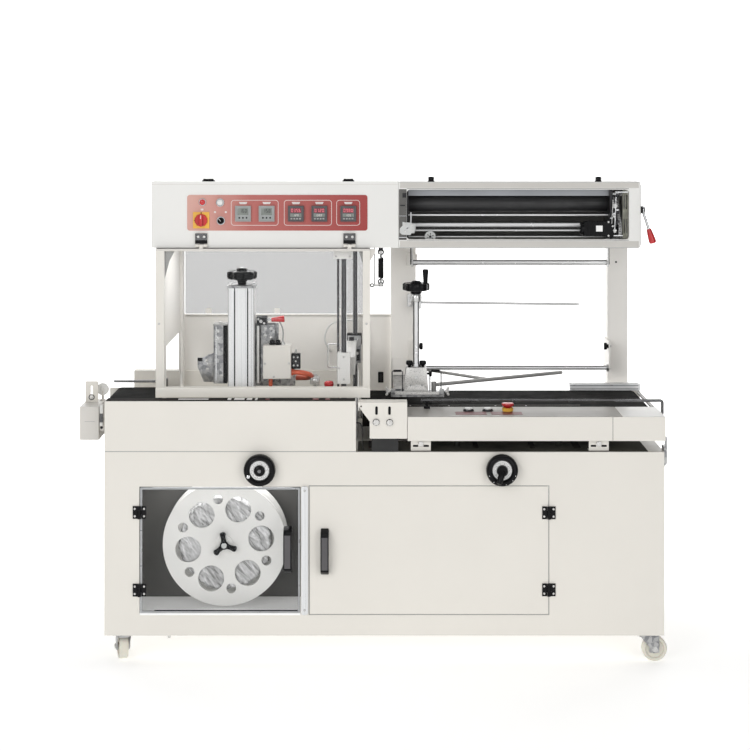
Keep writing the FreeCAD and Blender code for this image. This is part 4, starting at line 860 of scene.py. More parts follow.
# ------------------------------------------------------------------ handwheels
def handwheel(name, x, body, folded):
    z = 588
    parts = []
    rim = [(45, -8), (47.4, -12), (47.9, -17), (47.7, -24), (46.2, -30), (43.5, -34.5), (39, -36.6), (34.5, -35.6), (31, -31), (29.5, -26.5), (29.5, -23), (28, -12), (38, -10), (45, -8)]
    parts.append(lathe("w0", (x, 0, z), (0, 1, 0), rim, BLACKG, None, 72))
    parts.append(lathe("w1", (x, 0, z), (0, 1, 0), [(14, -24), (28.6, -24), (29.3, -25), (28.6, -26.2), (27.4, -27), (17.6, -27), (16.4, -26), (14, -25), (14, -24)], DIAL, None, 64))
    parts.append(lathe("w2", (x, 0, z), (0, 1, 0), [(0, -8), (24, -8), (24, -23.5), (0, -23.5)], BLACK, None, 48))
    parts.append(lathe("w3", (x, 0, z), (0, 1, 0), [(0, -24), (16.6, -24), (17, -30), (15.6, -35), (12, -37.4), (6.4, -38), (6.4, -36.5), (0, -36.5)], BLACKG, None, 48))
    parts.append(lathe("w4", (x, 0, z), (0, 1, 0), [(0, -36), (5.8, -36), (5.4, -38), (0, -38.3)], DCHROME, None, 32))
    # generic tick marks round the dial ring
    for i in range(40):
        a = 2 * math.pi * i / 40
        r0, r1 = (19.5, 25.5) if i % 4 == 0 else (22.5, 25.5)
        bm = bmesh.new()
        w = 0.38
        vs = []
        for y in (-27.0, -27.4):
            for r, s in ((r0, -w), (r1, -w), (r1, w), (r0, w)):
                vs.append(bm.verts.new(W(x + r * math.cos(a) - s * math.sin(a), y, z + r * math.sin(a) + s * math.cos(a))))
        for q in ((0, 1, 2, 3), (7, 6, 5, 4), (0, 4, 5, 1), (1, 5, 6, 2), (2, 6, 7, 3), (3, 7, 4, 0)):
            bm.faces.new([vs[k] for k in q])
        parts.append(finish_mesh("w5", bm, BLACK, None, smooth=False))
    if folded:
        d = Vector((-0.62, 0.0, -0.78))
        d = Vector((-0.30, -0.42, -0.86)).normalized()
        parts.append(lathe("w6", (x, -37, z), (0, -1, 0), [(0, -2), (16, -2), (16.4, 2), (14, 6.5), (0, 7)], BLACKG, None, 40))
        parts.append(lathe("w7", Vector((x, -41, z)) + d * 4, d, [(0, -8), (7.5, -6), (10.2, -1), (9.4, 14), (8.6, 30), (6.4, 35), (0, 37)], BLACKG, None, 36))
        # small white dots on the rim: painted highlights
        for t in (200, 232, 286, 318, 340):
            q = math.radians(t)
            parts.append(lathe("w8", (x + 41.5 * math.cos(q), -36.2, z + 41.5 * math.sin(q)), (0, -1, 0), [(0, 0), (1.2, 0), (1.0, 0.6), (0, 0.8)], DIAL, None, 10))
    else:
        d = Vector((-0.89, 0.0, -0.45))
        c = Vector((x, -33.5, z)) + d * 37
        parts.append(lathe("w6", c, (0, -1, 0), [(0, 0), (5.4, 0), (5.4, 2.6), (4.4, 3.4), (0, 3.6)], CHROME, None, 24))
    parts.append(bar("w8", (x, -8, z), (x, 325, z), 7.9, STEEL_Y, None))
    o = join(name, parts, body)
    return o


o = handwheel("infeed_lift_handwheel", 380, "infeed_wheel", True)
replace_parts(o, "infeed_handwheel")
o = handwheel("outfeed_lift_handwheel", -345, "outfeed_wheel", False)
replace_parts(o, "outfeed_handwheel")
lathe("handwheel_flange_r", (380, 0, 588), (0, -1, 0), [(8.6, 0), (22, 0), (22, 4), (18, 6), (8.6, 6), (8.6, 0)], ZINC, "frame", 40)
lathe("handwheel_flange_l", (-345, 0, 588), (0, -1, 0), [(8.6, 0), (22, 0), (22, 4), (18, 6), (8.6, 6), (8.6, 0)], ZINC, "frame", 40)

# ------------------------------------------------------------------ infeed conveyor
for o, lo, hi in islands("infeed_frame", width=0.8):
    if hi.z < 700 and hi.x - lo.x < 40:
        give(o, STEEL_Z)
    elif hi.x - lo.x < 60:
        give(o, STEEL_Y)
    else:
        give(o, CREAM)
# the top cover is cream painted in shade
block("infeed_top_cover", 99, 743, 1.5, 181, 744.0, 745.3, CREAM_PAINTED_SHADE, "infeed_conveyor", 0.5)
block("infeed_top_cover_end", 745, 871, 1.5, 181, 744.0, 745.3, WHITE, "infeed_conveyor", 0.5)
block("infeed_panel_seam", 713.2, 714.4, -0.25, 0.5, 673, 743.5, DARK, "infeed_conveyor", 0.05)
for o, lo, hi in islands("infeed_guides", width=0.6):
    c = (lo + hi) / 2
    if hi.z > 769 and lo.x < 200:
        o.hide_render = True
        bpy.data.objects.remove(o)
    elif lo.x > 860:
        give(o, BLACK)
    elif lo.x > 600:
        give(o, ALU_B)
    elif hi.z < 746:
        give(o, STRIP)
    elif hi.x - lo.x > 36:
        bpy.data.objects.remove(o)
    else:
        give(o, CHROME)
if "infeed_guides" not in [n for q in bpy.data.objects for n in list(q.get("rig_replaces", []))]:
    keep = [q for q in bpy.data.objects if q.name.startswith("infeed_guides_")][0]
    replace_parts(keep, "infeed_guides")
tube("guide_rail", [(141, 150, 769), (150, 150, 770), (882, 150, 769.5), (886.2, 150, 765), (886.2, 150, 724), (872, 150, 722)], 4.5, DCHROME, "infeed_conveyor", 12, 16, 10)
for x in (160,):
    bar("rail_post_%d" % x, (x, 150, 745), (x, 150, 768), 5, BLACK, "infeed_conveyor")
    lathe("rail_collar_%d" % x, (x, 150, 745), (0, 0, 1), [(0, 0), (10, 0), (10, 5), (8, 8), (0, 8)], BLACK, "infeed_conveyor", 32)
# painted shade on the deck under the infeed, with darker painted-shade bars
boxes("deck_shadow", [(-52, 820, 5, 178, 639.2, 640.6)], DECK_PAINTED_SHADE)
boxes("deck_ribs", [(x, x + w, 60, 170, 640.4, 642.4) for x, w in ((-20, 22), (300, 14), (470, 16), (604, 20))], SHADE)
boxes("button_strip", [(244, 338, 34, 84, 745.3, 746.0), (352, 446, 34, 84, 745.3, 746.0)], STRIP, "infeed_conveyor")
boxes("infeed_side_shadow", [(-39.4, 97.4, 177.6, 178.9, 684.4, 743.6)], SHADE, "infeed_conveyor")
boxes("infeed_belt_lip", [(100, 640, 213.4, 215.4, 744.0, 745.4)], CREAM_PAINTED_SHADE, "infeed_conveyor")
screws("infeed_belt_rivets", [(x, 200, 745.3) for x in (110, 230, 375, 470)], 2.6, (0, 0, 1), SCREWW, "infeed_conveyor", head=1.2)
# slots of the profile lying on the far edge, drawn as darker strips: painted shade in the slots
for k, z in enumerate((749.8, 761.2)):
    block("profile_slot_%d" % k, 643, 867.5, 516.2, 517.4, z - 1.4, z + 1.4, ALU_D, "infeed_conveyor", 0.2)
block("profile_top_slot", 643, 867.5, 533, 541, 765.0, 765.8, DARK, "infeed_conveyor", 0.2)
# belt end: bright end plate with a row of finger slots
block("infeed_end_bar", 862.6, 868.5, 183, 519, 734, 744.8, CREAM_PAINTED_SHADE, "infeed_conveyor", 0.8)
for i in range(12):
    block("end_finger_%02d" % i, 856.5, 862, 190 + i * 27.2, 204 + i * 27.2, 745.1, 745.7, WHITE, "infeed_conveyor", 0.15)
# start, stop and emergency buttons
lathe("emergency_stop_base", (406, 104, 744), (0, 0, 1), [(7.7, 1.4), (16.8, 1.4), (17.4, 11.3), (16.0, 11.3), (16.0, 5), (7.7, 5), (7.7, 1.4)], YELLOW, "infeed_conveyor", 56)
for nm, x, bd in (("start_button", 286, "start_key"), ("stop_button", 345, "stop_key")):
    o = lathe(nm + "_cap", (x, 104, 736), (0, 0, 1), [(0, 0), (4, 0), (4, 12.4), (8.8, 12.8), (8.8, 16.0), (12.4, 16.3), (12.4, 18), (11.4, 19.2), (0, 19.5)], DIAL, bd, 40)
    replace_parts(o, nm)
    lathe(nm + "_ring", (x, 104, 745.2), (0, 0, 1), [(12.9, 0), (17, 0), (17, 1.4), (15.2, 5.4), (12.9, 5.4), (12.9, 0)], BOX_STEEL, "infeed_conveyor", 40)
o = lathe("emergency_stop_head", (406, 104, 745), (0, 0, 1), [(0, 5.5), (7, 5.5), (7, 11.5), (11.5, 12), (14.2, 13.4), (18.2, 18), (18.9, 22), (17.6, 24.4), (13.5, 25.4), (0, 25.7)], REDP, "emergency_key", 56)
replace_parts(o, "emergency_stop")

# ------------------------------------------------------------------ outfeed conveyor
for o, lo, hi in islands("outfeed_frame", width=0.8):
    if hi.z < 700 and hi.x - lo.x < 40:
        give(o, STEEL_Z)
    elif hi.x < -810 and lo.y < 100:
        give(o, CREAM2)
    elif hi.z > 800:
        give(o, CREAM)
    elif hi.x - lo.x < 60 and hi.y - lo.y > 300:
        give(o, STEEL_Y)
    elif lo.y > 570 and lo.x < -860:
        give(o, DCHROME)
    else:
        give(o, CREAM)
block("outfeed_end_seam", -881, -850, 59.6, 60.2, 719.5, 720.6, GUSSET, "outfeed_conveyor", 0.05)
boxes("outfeed_end_strip", [(-836, -826, 62, 72, 744, 770), (-836, -827, 62, 70, 706, 716)], WHITE, "outfeed_conveyor", 0.6)
boxes("outfeed_end_grille", [(-836, -826, 64, 70, 718 + 3.2 * k, 720 + 3.2 * k) for k in range(8)], DCHROME, "outfeed_conveyor")
block("outfeed_end_back", -838.2, -824, 70, 78, 690, 772, CREAM2, "outfeed_conveyor", 0.8)
screws("outfeed_end_screws", [(-831, 70, 700)], 4.2, (0, -1, 0), BOX_STEEL, "outfeed_conveyor", head=3)
screws("outfeed_bracket_bolt", [(-874, 149.4, 780)], 5.6, (0, -1, 0), SCREWW, "outfeed_conveyor", head=4, kind="hex")
lathe("outfeed_bracket_washer", (-874, 150, 780), (0, -1, 0), [(0, 0), (9.2, 0), (9.2, 0.8), (0, 0.8)], BLACK, "outfeed_conveyor", 36)
join("outfeed_end_roller", [lathe("r", (-845, 186, 800), (0, -1, 0), [(0, 0), (19, 0), (19, 3), (16, 4.4), (15, 3.4), (7, 3.4), (6, 6), (0, 6)], WPLAST, None, 48), bar("r", (-845, 186, 800), (-845, 186, 762), 4, CREAM2, None), block("r", -853, -839, 181, 191, 760, 768, CREAM2, None, 0.6)], "outfeed_conveyor")

SEGS = {"0": "abcdef", "1": "bc", "2": "abged", "3": "abgcd", "4": "fgbc", "5": "afgcd", "6": "afgedc", "7": "abc", "8": "abcdefg", "9": "abcdfg"}


def digits(text, x, z, w, h, y, t):
    """Seven segment figures as thin blocks, centred on x."""
    out = []
    pitch = w * 1.45
    x0 = x - pitch * len(text) / 2 + (pitch - w) / 2
    for ch in text:
        m = z + h / 2
        S = {"a": (x0 + t, x0 + w - t, z + h - t, z + h), "g": (x0 + t, x0 + w - t, m - t / 2, m + t / 2), "d": (x0 + t, x0 + w - t, z, z + t),
             "f": (x0, x0 + t, m + t * 0.3, z + h - t * 0.3), "b": (x0 + w - t, x0 + w, m + t * 0.3, z + h - t * 0.3),
             "e": (x0, x0 + t, z + t * 0.3, m - t * 0.3), "c": (x0 + w - t, x0 + w, z + t * 0.3, m - t * 0.3)}
        for k in SEGS[ch]:
            a, b, c, d = S[k]
            out.append((a, b, y - 0.25, y, c, d))
        x0 += pitch
    return out


def lobed(name, cx, cy, levels, lobes, depth, mat, body, turn=0.0, n=180):
    """A knob with finger lobes; levels are (radius, height), depth the share cut between lobes."""
    bm = bmesh.new()
    rings = []
    for r, h in levels:
        if r < 1e-6:
            rings.append([bm.verts.new(W(cx, cy, h))])
            continue
        row = []
        for i in range(n):
            a = 2 * math.pi * i / n
            k = 0.5 + 0.5 * math.cos(lobes * (a - turn))
            k = k ** 0.55
            d = depth if r > 22 else depth * max(0.0, (r - 14) / 8)
            row.append(bm.verts.new(W(cx + r * (1 - d * (1 - k)) * math.cos(a), cy + r * (1 - d * (1 - k)) * math.sin(a), h)))
        rings.append(row)
    for a, b in zip(rings, rings[1:]):
        for i in range(n):
            j = (i + 1) % n
            if len(a) == 1:
                bm.faces.new((a[0], b[i], b[j]))
            elif len(b) == 1:
                bm.faces.new((a[i], a[j], b[0]))
            else:
                bm.faces.new((a[i], a[j], b[j], b[i]))
    return finish_mesh(name, bm, mat, body, angle=45)


def drop(objs):
    for q in objs:
        bpy.data.objects.remove(q)


# ------------------------------------------------------------------ control box
for i, (x0, x1) in enumerate(((-528.8, -490.9), (-99.3, -63.6))):
    join("lid_hinge_%d" % i, [block("a", x0, x1, 103, 124, 1447, 1450.5, BLACK, None, 0.8), block("b", x0 + 3, x1 - 3, 104, 112, 1450, 1455, BLACK, None, 1.6)], "frame")
block("lid_seam", -684.4, 71.4, 99.4, 588.4, 1437.5, 1438.6, CREAM2, "frame", 0.1)
screws("box_end_screws", [(-684, 130, 1262), (-684, 558, 1262), (-684, 130, 1420), (-684, 558, 1420)], 4, (-1, 0, 0), SCREW, head=2)
for i, x in enumerate((-530.5, -78)):
    block("hood_hinge_leaf_%d" % i, x - 18.6, x + 18.6, 91.6, 93.4, 1268, 1289, DCHROME, "frame", 0.5)
    block("hood_hinge_dark_%d" % i, x - 18.8, x + 18.8, 91.0, 93.4, 1257.2, 1267.8, BLACK, "frame", 0.8)
    join("hood_hinge_knuckle_%d" % i, [block("a", x - 6.2, x + 6.2, 86.0, 91.0, 1243.5, 1250, CREAM, None, 1.2), block("b", x - 5, x + 5, 85.0, 86.6, 1237, 1244, CREAM2, None, 0.5)], "hood")

# fascia print
for i, (x0, x1) in enumerate(((-440, -295), (-278, -132), (-118, -46))):
    plate("fascia_outline_%d" % i, rrect(x0, x1, 1312.5, 1390.5, 9), [rrect(x0 + 1.5, x1 - 1.5, 1314, 1389, 7.6)], "Y", 98.15, 0.45, PRINT, "frame", 0.1)
for i, (x, z, w, h) in enumerate(((-528.5, 1361.3, 8.5, 6), (-489, 1353.6, 6, 5.4), (-455.8, 1353.6, 6, 5.4))):
    plate("fascia_patch_%d" % i, rrect(x - w / 2, x + w / 2, z - h / 2, z + h / 2, 0.8), [], "Y", 98.15, 0.45, PRINT, "frame", 0.1)
METERS = (-403, -331, -241.5, -170, -81.6)
for i, x in enumerate(METERS):
    plate("meter_label_%d" % i, [(x - 13, 1384.6), (x - 10, 1377.8), (x + 10, 1377.8), (x + 13, 1384.6)], [], "Y", 98.1, 0.5, PRINT, "frame", 0.1)

red = []
for o, lo, hi in islands("panel_fittings", width=0.5):
    c = (lo + hi) / 2
    w = hi.x - lo.x
    if abs(w - 48) < 1:
        give(o, BLACK if c.x > -300 else GPLAST)
    elif w > 49:
        give(o, YELLOW)
    elif lo.y < 88:
        red.append(o)
    else:
        give(o, CHROME)
drop([q for q in red if "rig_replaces" not in q])
for i, x in enumerate(METERS):
    pale = i < 2
    z = 1349
    edge = METERW if pale else METERG
    plate("meter_bezel_%d" % i, rrect(x - 24, x + 24, z - 24, z + 24, 2.6), [rrect(x - 20.5, x + 20.5, z - 20.5, z + 20.5, 1.4)], "Y", 89.0, 1.8, edge, "frame", 0.6)
    block("meter_face_%d" % i, x - 20.6, x + 20.6, 90.0, 90.8, z - 20.6, z + 20.6, METERW if pale else METERG, "frame", 0.2)
    if pale:
        plate("meter_window_%d" % i, rrect(x - 16.5, x + 16.5, z - 4, z + 17, 1.2), [], "Y", 89.6, 0.7, LCD, "frame", 0.15)
        boxes("meter_figures_%d" % i, digits("160" if i == 0 else "158", x + 1, z + 3.5, 5.6, 10.5, 89.62, 1.3), DARK)
        screws("meter_keys_%d" % i, [(x - 11, 90.0, z - 12.5), (x, 90.0, z - 12.5), (x + 11, 90.0, z - 12.5)], 2.6, (0, -1, 0), BLACK, head=0.9, kind="socket")
    else:
        plate("meter_window_%d" % i, rrect(x - 17, x + 17, z + 2.5, z + 17.5, 1.0), [], "Y", 89.7, 0.5, LEDW, "frame", 0.1)
        boxes("meter_figures_%d" % i, digits(("0356", "0120", "0980")[i - 2], x, z + 5.2, 5.2, 9.6, 89.7, 1.2), LED)
        plate("meter_window_low_%d" % i, rrect(x - 17, x + 17, z - 9.5, z + 0.5, 1.0), [], "Y", 89.7, 0.5, LCD, "frame", 0.1)
        boxes("meter_figures_low_%d" % i, digits(("120", "080", "100")[i - 2], x, z - 7.6, 4.0, 6.2, 89.7, 0.9), PRINT)
        boxes("meter_keys_%d" % i, [(x - 16 + 8.6 * k, x - 10.4 + 8.6 * k, 89.4, 90.2, z - 17.2, z - 13.2) for k in range(4)], GUSSET, "frame", 0.3)

# lamp, white button, main switch, selector
lathe("lamp_bezel", (-527, 98.5, 1384), (0, -1, 0), [(8.5, 0), (12.3, 0), (12.3, 1.6), (11, 3.4), (8.5, 3.4), (8.5, 0)], CHROME, "frame", 40)
lathe("lamp_lens", (-527, 98.5, 1384), (0, -1, 0), [(0, 0), (9, 0), (9, 7), (8.2, 9.6), (6, 11.2), (3, 12), (0, 12.2)], REDP, "frame", 40)
o = lathe("panel_button_cap", (-473, 94.5, 1383), (0, -1, 0), [(0, -8), (5, -8), (5, -0.4), (8.6, 0), (8.6, 4.4), (7.8, 5.8), (0, 6)], WPLAST, "panel_key", 40)
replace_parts(o, "panel_button")
parts = [lathe("m0", (-531, 98, 1329), (0, -1, 0), [(0, -8), (5, -8), (5, 3), (19, 3.2), (19.4, 4.6), (18.8, 9.5), (17.4, 11.4), (0, 11.6)], REDP, None, 56),
         block("m1", -536.4, -525.6, 76.6, 88, 1311.6, 1346.4, REDP, None, 2.6, 3),
         block("m2", -532, -530, 76.2, 77.2, 1334, 1345, WPLAST, None, 0.2)]
for k in range(10):
    a = math.radians(36 * k + 18)
    parts.append(lathe("m3", (-531 + 18.6 * math.cos(a), 94.2, 1329 + 18.6 * math.sin(a)), (0, -1, 0), [(0, 0), (1.7, 0), (1.7, 6), (1.2, 7), (0, 7)], REDP, None, 12))
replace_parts(join("main_switch_handle", parts, "main_switch"), "main_switch_knob")
boxes("main_switch_marks", [(-553, -548, 95.2, 95.6, 1327.6, 1330.2), (-532.3, -529.7, 95.2, 95.6, 1349.4, 1353)], BLACK)
d = Vector((0.66, 0, -0.75))
parts = [lathe("s0", (-471, 94, 1327.5), (0, -1, 0), [(0, -10), (5, -10), (5, 0.6), (10, 1), (10, 5.4), (9, 6.4), (0, 6.4)], BLACKG, None, 40),
         bar("s1", Vector((-471, 84.5, 1327.5)) - d * 9.4, Vector((-471, 84.5, 1327.5)) + d * 9.4, 3.6, BLACKG, None, 16),
         bar("s2", Vector((-471, 81.4, 1327.5)) - d * 9.2, Vector((-471, 81.4, 1327.5)) + d * 1.5, 0.9, WPLAST, None, 8)]
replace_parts(join("selector_handle", parts, "selector"), "selector_knob")

# ------------------------------------------------------------------ film box
mouth = rrect(95, 778, 1268, 1424, 12)
plate("film_box_face", rrect(71.8, 811.8, 1244.2, 1445.8, 9), [mouth], "Y", 98.6, 1.6, WHITE, "frame", 0.6)
block("film_box_corner_shade", 73, 96.4, 97.9, 98.7, 1268.4, 1423.6, LINER, "frame", 0.2)
# dark lines along the box and mouth edges, and the darker lip bands: painted shade
boxes("film_box_edge_lines", [(75, 806, 98.1, 98.7, 1243.6, 1245.6), (75, 806, 98.1, 98.7, 1444.4, 1446.4), (97, 776, 98.0, 98.7, 1424.2, 1426.4), (97, 776, 98.0, 98.7, 1265.8, 1267.4)], GUSSET)
boxes("film_box_bands", [(76, 806, 98.1, 98.66, 1427.4, 1443.4), (76, 806, 98.1, 98.66, 1246.6, 1264.8)], BAND_PAINTED_SHADE)
block("film_web_top", 101, 722, 158, 159.2, 1401, 1424, WEB, "frame", 0.3)
boxes("film_box_side_line", [(810.6, 812.4, 98.1, 98.9, 1253, 1437)], GUSSET)
plate("film_box_lip", mouth, [rrect(97, 776, 1270, 1422, 10.5)], "Y", 99.4, 15, WHITE, "frame", 0.5)
block("film_box_back_dark", 76, 808, 583, 585.4, 1248, 1442, LINER, "frame", 0.2)
for o, lo, hi in islands("roller_frame", width=0.5):
    s = hi - lo
    if s.x > 600:
        r = s.z / 2
        give(o, ROD_PAINTED_REFLECTION)
    elif s.x > 60:
        give(o, BLACK)
    else:
        give(o, BOX_STEEL)
# feed motor: end bell, flange screws, blank plate
parts = [lathe("f0", (640, 122, 1302), (-1, 0, 0), [(0, -3), (17.5, -3), (18.6, 0), (18.6, 8), (16, 11), (9, 12), (0, 12)], BLACKG, None, 40)]
for k in range(7):
    parts.append(block("f1", 646 + k * 8, 650 + k * 8, 102.6, 138, 1279.6, 1324.4, BLACK, None, 0.5))
join("feed_motor_body", parts, "frame")
block("feed_motor_plate", 676, 696, 101.8, 102.6, 1294, 1312, DIAL, "frame", 0.3)
screws("feed_motor_screws", [(714, 104, 1281), (714, 104, 1323)], 3.2, (0, -1, 0), SCREW, kind="socket", head=3)
# sprocket teeth and the chain round them
def sprocket(name, x, y, z, r, n, mat, body):
    bm = bmesh.new()
    rings = []
    N = n * 6
    for h in (-2.2, 2.2):
        row = []
        for i in range(N):
            a = 2 * math.pi * i / N
            rr = r + 1.9 * math.cos(n * a)
            row.append(bm.verts.new(W(x + h, y + rr * math.cos(a), z + rr * math.sin(a))))
        rings.append(row)
    for i in range(N):
        j = (i + 1) % N
        bm.faces.new((rings[0][i], rings[0][j], rings[1][j], rings[1][i]))
    bm.faces.new(rings[0])
    bm.faces.new(rings[1][::-1])
    return finish_mesh(name, bm, mat, body, smooth=False)


sprocket("feed_sprocket", 749, 118, 1302, 19.5, 16, BOX_STEEL, "frame")
s2 = sprocket("roller_sprocket", 749, 200, 1375, 27.5, 22, BOX_STEEL, "drive_roll")


def chain_path(c1, r1, c2, r2, n_arc=14):
    (y1, z1), (y2, z2) = c1, c2
    d = math.hypot(y2 - y1, z2 - z1)
    base = math.atan2(z2 - z1, y2 - y1)
    k = math.acos((r1 - r2) / d)
    pts = []
    for i in range(n_arc + 1):
        a = base + k + (2 * math.pi - 2 * k) * i / n_arc
        pts.append((y1 + r1 * math.cos(a), z1 + r1 * math.sin(a)))
    for i in range(n_arc + 1):
        a = base - k + 2 * k * i / n_arc
        pts.append((y2 + r2 * math.cos(a), z2 + r2 * math.sin(a)))
    return pts


cp = chain_path((118, 1302), 21, (200, 1375), 29)
loop = cp + [cp[0]]
total = sum(math.dist(a, b) for a, b in zip(loop, loop[1:]))
n_link = int(total / 6.4) // 2 * 2
parts, step, acc, i = [], total / n_link, 0.0, 0
pos = []
for k in range(n_link):
    want = k * step
    while acc + math.dist(loop[i], loop[i + 1]) < want:
        acc += math.dist(loop[i], loop[i + 1])
        i += 1
    t = (want - acc) / math.dist(loop[i], loop[i + 1])
    pos.append((loop[i][0] + (loop[i + 1][0] - loop[i][0]) * t, loop[i][1] + (loop[i + 1][1] - loop[i][1]) * t))
for k in range(n_link):
    a, b = pos[k], pos[(k + 1) % n_link]
    c = Vector((749, (a[0] + b[0]) / 2, (a[1] + b[1]) / 2))
    dr = Vector((0, b[0] - a[0], b[1] - a[1])).normalized()
    up = Vector((0, -dr.z, dr.y))
    w = 4.6 if k % 2 else 3.4
    bm = bmesh.new()
    for sx in (-w, w - 1.0):
        vs = []
        for xx in (sx, sx + 1.0):
            for u, v in ((-4.6, -1.6), (-3.4, -2.5), (3.4, -2.5), (4.6, -1.6), (4.6, 1.6), (3.4, 2.5), (-3.4, 2.5), (-4.6, 1.6)):
                p = c + dr * u + up * v
                vs.append(bm.verts.new(W(749 + xx, p.y, p.z)))
        bm.faces.new(vs[:8]); bm.faces.new(vs[8:][::-1])
        for q in range(8):
            bm.faces.new((vs[q], vs[(q + 1) % 8], vs[8 + (q + 1) % 8], vs[8 + q]))
    parts.append(finish_mesh("c", bm, STEEL_Y, None, smooth=False))
    parts.append(lathe("c", (749 - 4.8, a[0], a[1]), (1, 0, 0), [(0, 0), (1.7, 0), (1.7, 9.6), (0, 9.6)], SCREW, None, 10))
join("drive_chain", parts, "frame")
# gearing at the right: pinch gear wheels, tie bolts, side plate
for k, (y, z, r) in enumerate(((172, 1400, 12), (150, 1386, 9))):
    sprocket("idler_gear_%d" % k, 736, y, z, r, 12, ZINC, "frame")
screws("gear_plate_bolts", [(730, 140, 1432), (730, 236, 1432), (730, 140, 1262), (730, 236, 1262), (730, 168, 1352)], 5, (1, 0, 0), SCREW, kind="hex", head=5)
bars = []
for z, y in ((1408, 150), (1352, 150), (1268, 140)):
    bars.append(bar("t", (731, y, z), (809, y, z), 4.6, CHROME, None))
    bars.append(lathe("t", (755, y, z), (1, 0, 0), [(0, 0), (8, 0), (8, 6), (0, 6)], SCREW, None, 6))
join("gear_side_ties", [b for i, b in enumerate(bars) if i // 2 != 1], "frame")
drop([b for i, b in enumerate(bars) if i // 2 == 1])
block("gear_side_plate", 766, 769, 124, 300, 1252, 1438, GUSSET, "frame", 0.8)
plate("gear_front_flange", [(757, 1272), (775, 1272), (775, 1420), (757, 1420)], [slot_loop(762.5, 1310, 44, 1.6, True), slot_loop(769.5, 1310, 44, 1.6, True), slot_loop(762.5, 1384, 44, 1.6, True), slot_loop(769.5, 1384, 44, 1.6, True)], "Y", 104, 2, OLIVE, "frame", 0.3)
boxes("gear_spacers", [(735, 774, 101.5, 104.2, 1413, 1416), (735, 745, 101.5, 104, 1358, 1362), (727, 735, 101.5, 104.2, 1346, 1350), (719, 727, 101.5, 104, 1334, 1336), (730, 757, 101.5, 104, 1280, 1283)], WIRE)
for k, (x, z, r) in enumerate(((741, 1404, 6), (735, 1372, 7.5), (742, 1352, 6), (733, 1340, 5), (741, 1322, 7), (734, 1296, 6), (741, 1282, 5), (727, 1310, 4))):
    lathe("gear_boss_%d" % k, (x, 106, z), (0, -1, 0), [(0, 0), (r, 0), (r, 1.4), (r * 0.7, 2.2), (r * 0.62, 4.0), (0, 4.4)], SCREW if k % 2 else BOX_STEEL, "frame", 6 if k % 3 == 0 else 24)
bar("gear_link", (737, 102.6, 1400), (733, 102.6, 1300), 1.8, WIRE, "frame", 12)
bar("gear_link_b", (728, 102.6, 1392), (724, 102.6, 1318), 1.4, SCREW, "frame", 12)
# left side mechanism
plate("left_bearing_plate", [(77, 1287), (121, 1287), (125, 1300), (125, 1316), (100, 1320), (92, 1330), (84, 1330), (77, 1318)], [circ(100, 1304, 5)], "Y", 121, 3, GPLAST, "frame", 0.6)
plate("left_bearing_front", [(75, 1291), (82, 1285), (108, 1283), (112, 1290), (120, 1291), (121, 1318), (112, 1319), (108, 1322), (92, 1322), (84, 1324), (84, 1312), (76, 1304)], [circ(99, 1305, 3)], "Y", 96.6, 1.4, GPLAST, "frame", 0.4)
boxes("left_shaft_ends", [(73.4, 96, 96.4, 97.9, 1339.6, 1343.4), (73.4, 96, 96.4, 97.9, 1273.4, 1279.4), (77, 92, 96.4, 97.9, 1372, 1376), (84, 96, 96.4, 97.9, 1398, 1412)], BOX_STEEL)
# bright strips on the shaft ends: painted highlights
boxes("left_shaft_shine", [(73.4, 96, 96.0, 96.6, 1341, 1342.6), (73.4, 96, 96.0, 96.6, 1275.4, 1277.8)], WIRE)
screws("left_front_screws", [(91, 96.6, 1294), (91, 96.6, 1314), (113, 96.6, 1298), (113, 96.6, 1312)], 2.6, (0, -1, 0), SCREWW, head=2, kind="hex")
screws("left_plate_screws", [(84, 121, 1294), (118, 121, 1308), (88, 121, 1322)], 3.4, (0, -1, 0), SCREW, kind="hex", head=3)
bar("left_link_pin", (100, 112, 1304), (100, 126, 1304), 4.6, CHROME)
bar("left_tension_stud", (110, 126, 1318), (110, 126, 1352), 3, CHROME)
join("film_counter_wheel", [lathe("w", (169.7, 132, 1276.8), (0, -1, 0), [(4, 0), (16, 0), (17, 1), (17, 7), (16, 8), (12, 8), (11, 5.5), (6, 5.5), (6, 8), (4, 8), (4, 0)], GPLAST, None, 48),
                            lathe("w", (169.7, 132, 1276.8), (0, -1, 0), [(0, -6), (4, -6), (4, 9), (0, 10)], BOX_STEEL, None, 24)]
     + [bar("w", (169.7 + 6 * math.cos(a), 126.2, 1276.8 + 6 * math.sin(a)), (169.7 + 11.4 * math.cos(a), 126.2, 1276.8 + 11.4 * math.sin(a)), 1.0, BOX_STEEL, None, 10) for a in (0.4, 1.45, 2.5, 3.54, 4.6, 5.64)]
     + [block("w", 158, 181, 134, 140, 1247, 1262, ZINC, None, 0.8)], "frame")
# roller ends and zinc collars
for nm, y, z, r in (("a", 200, 1418.3, 11), ("b", 200, 1375, 15)):
    for side, x, dr in (("l", 94.5, -1), ("r", 730.5, 1)):
        lathe("roller_bearing_%s_%s" % (nm, side), (x, y, z), (dr, 0, 0), [(8.3 if nm == "a" else 10.3, 0), (r + 5, 0), (r + 5, 4), (r + 2, 6), (8.3 if nm == "a" else 10.3, 6), (8.3 if nm == "a" else 10.3, 0)], ZINC, "frame", 40)

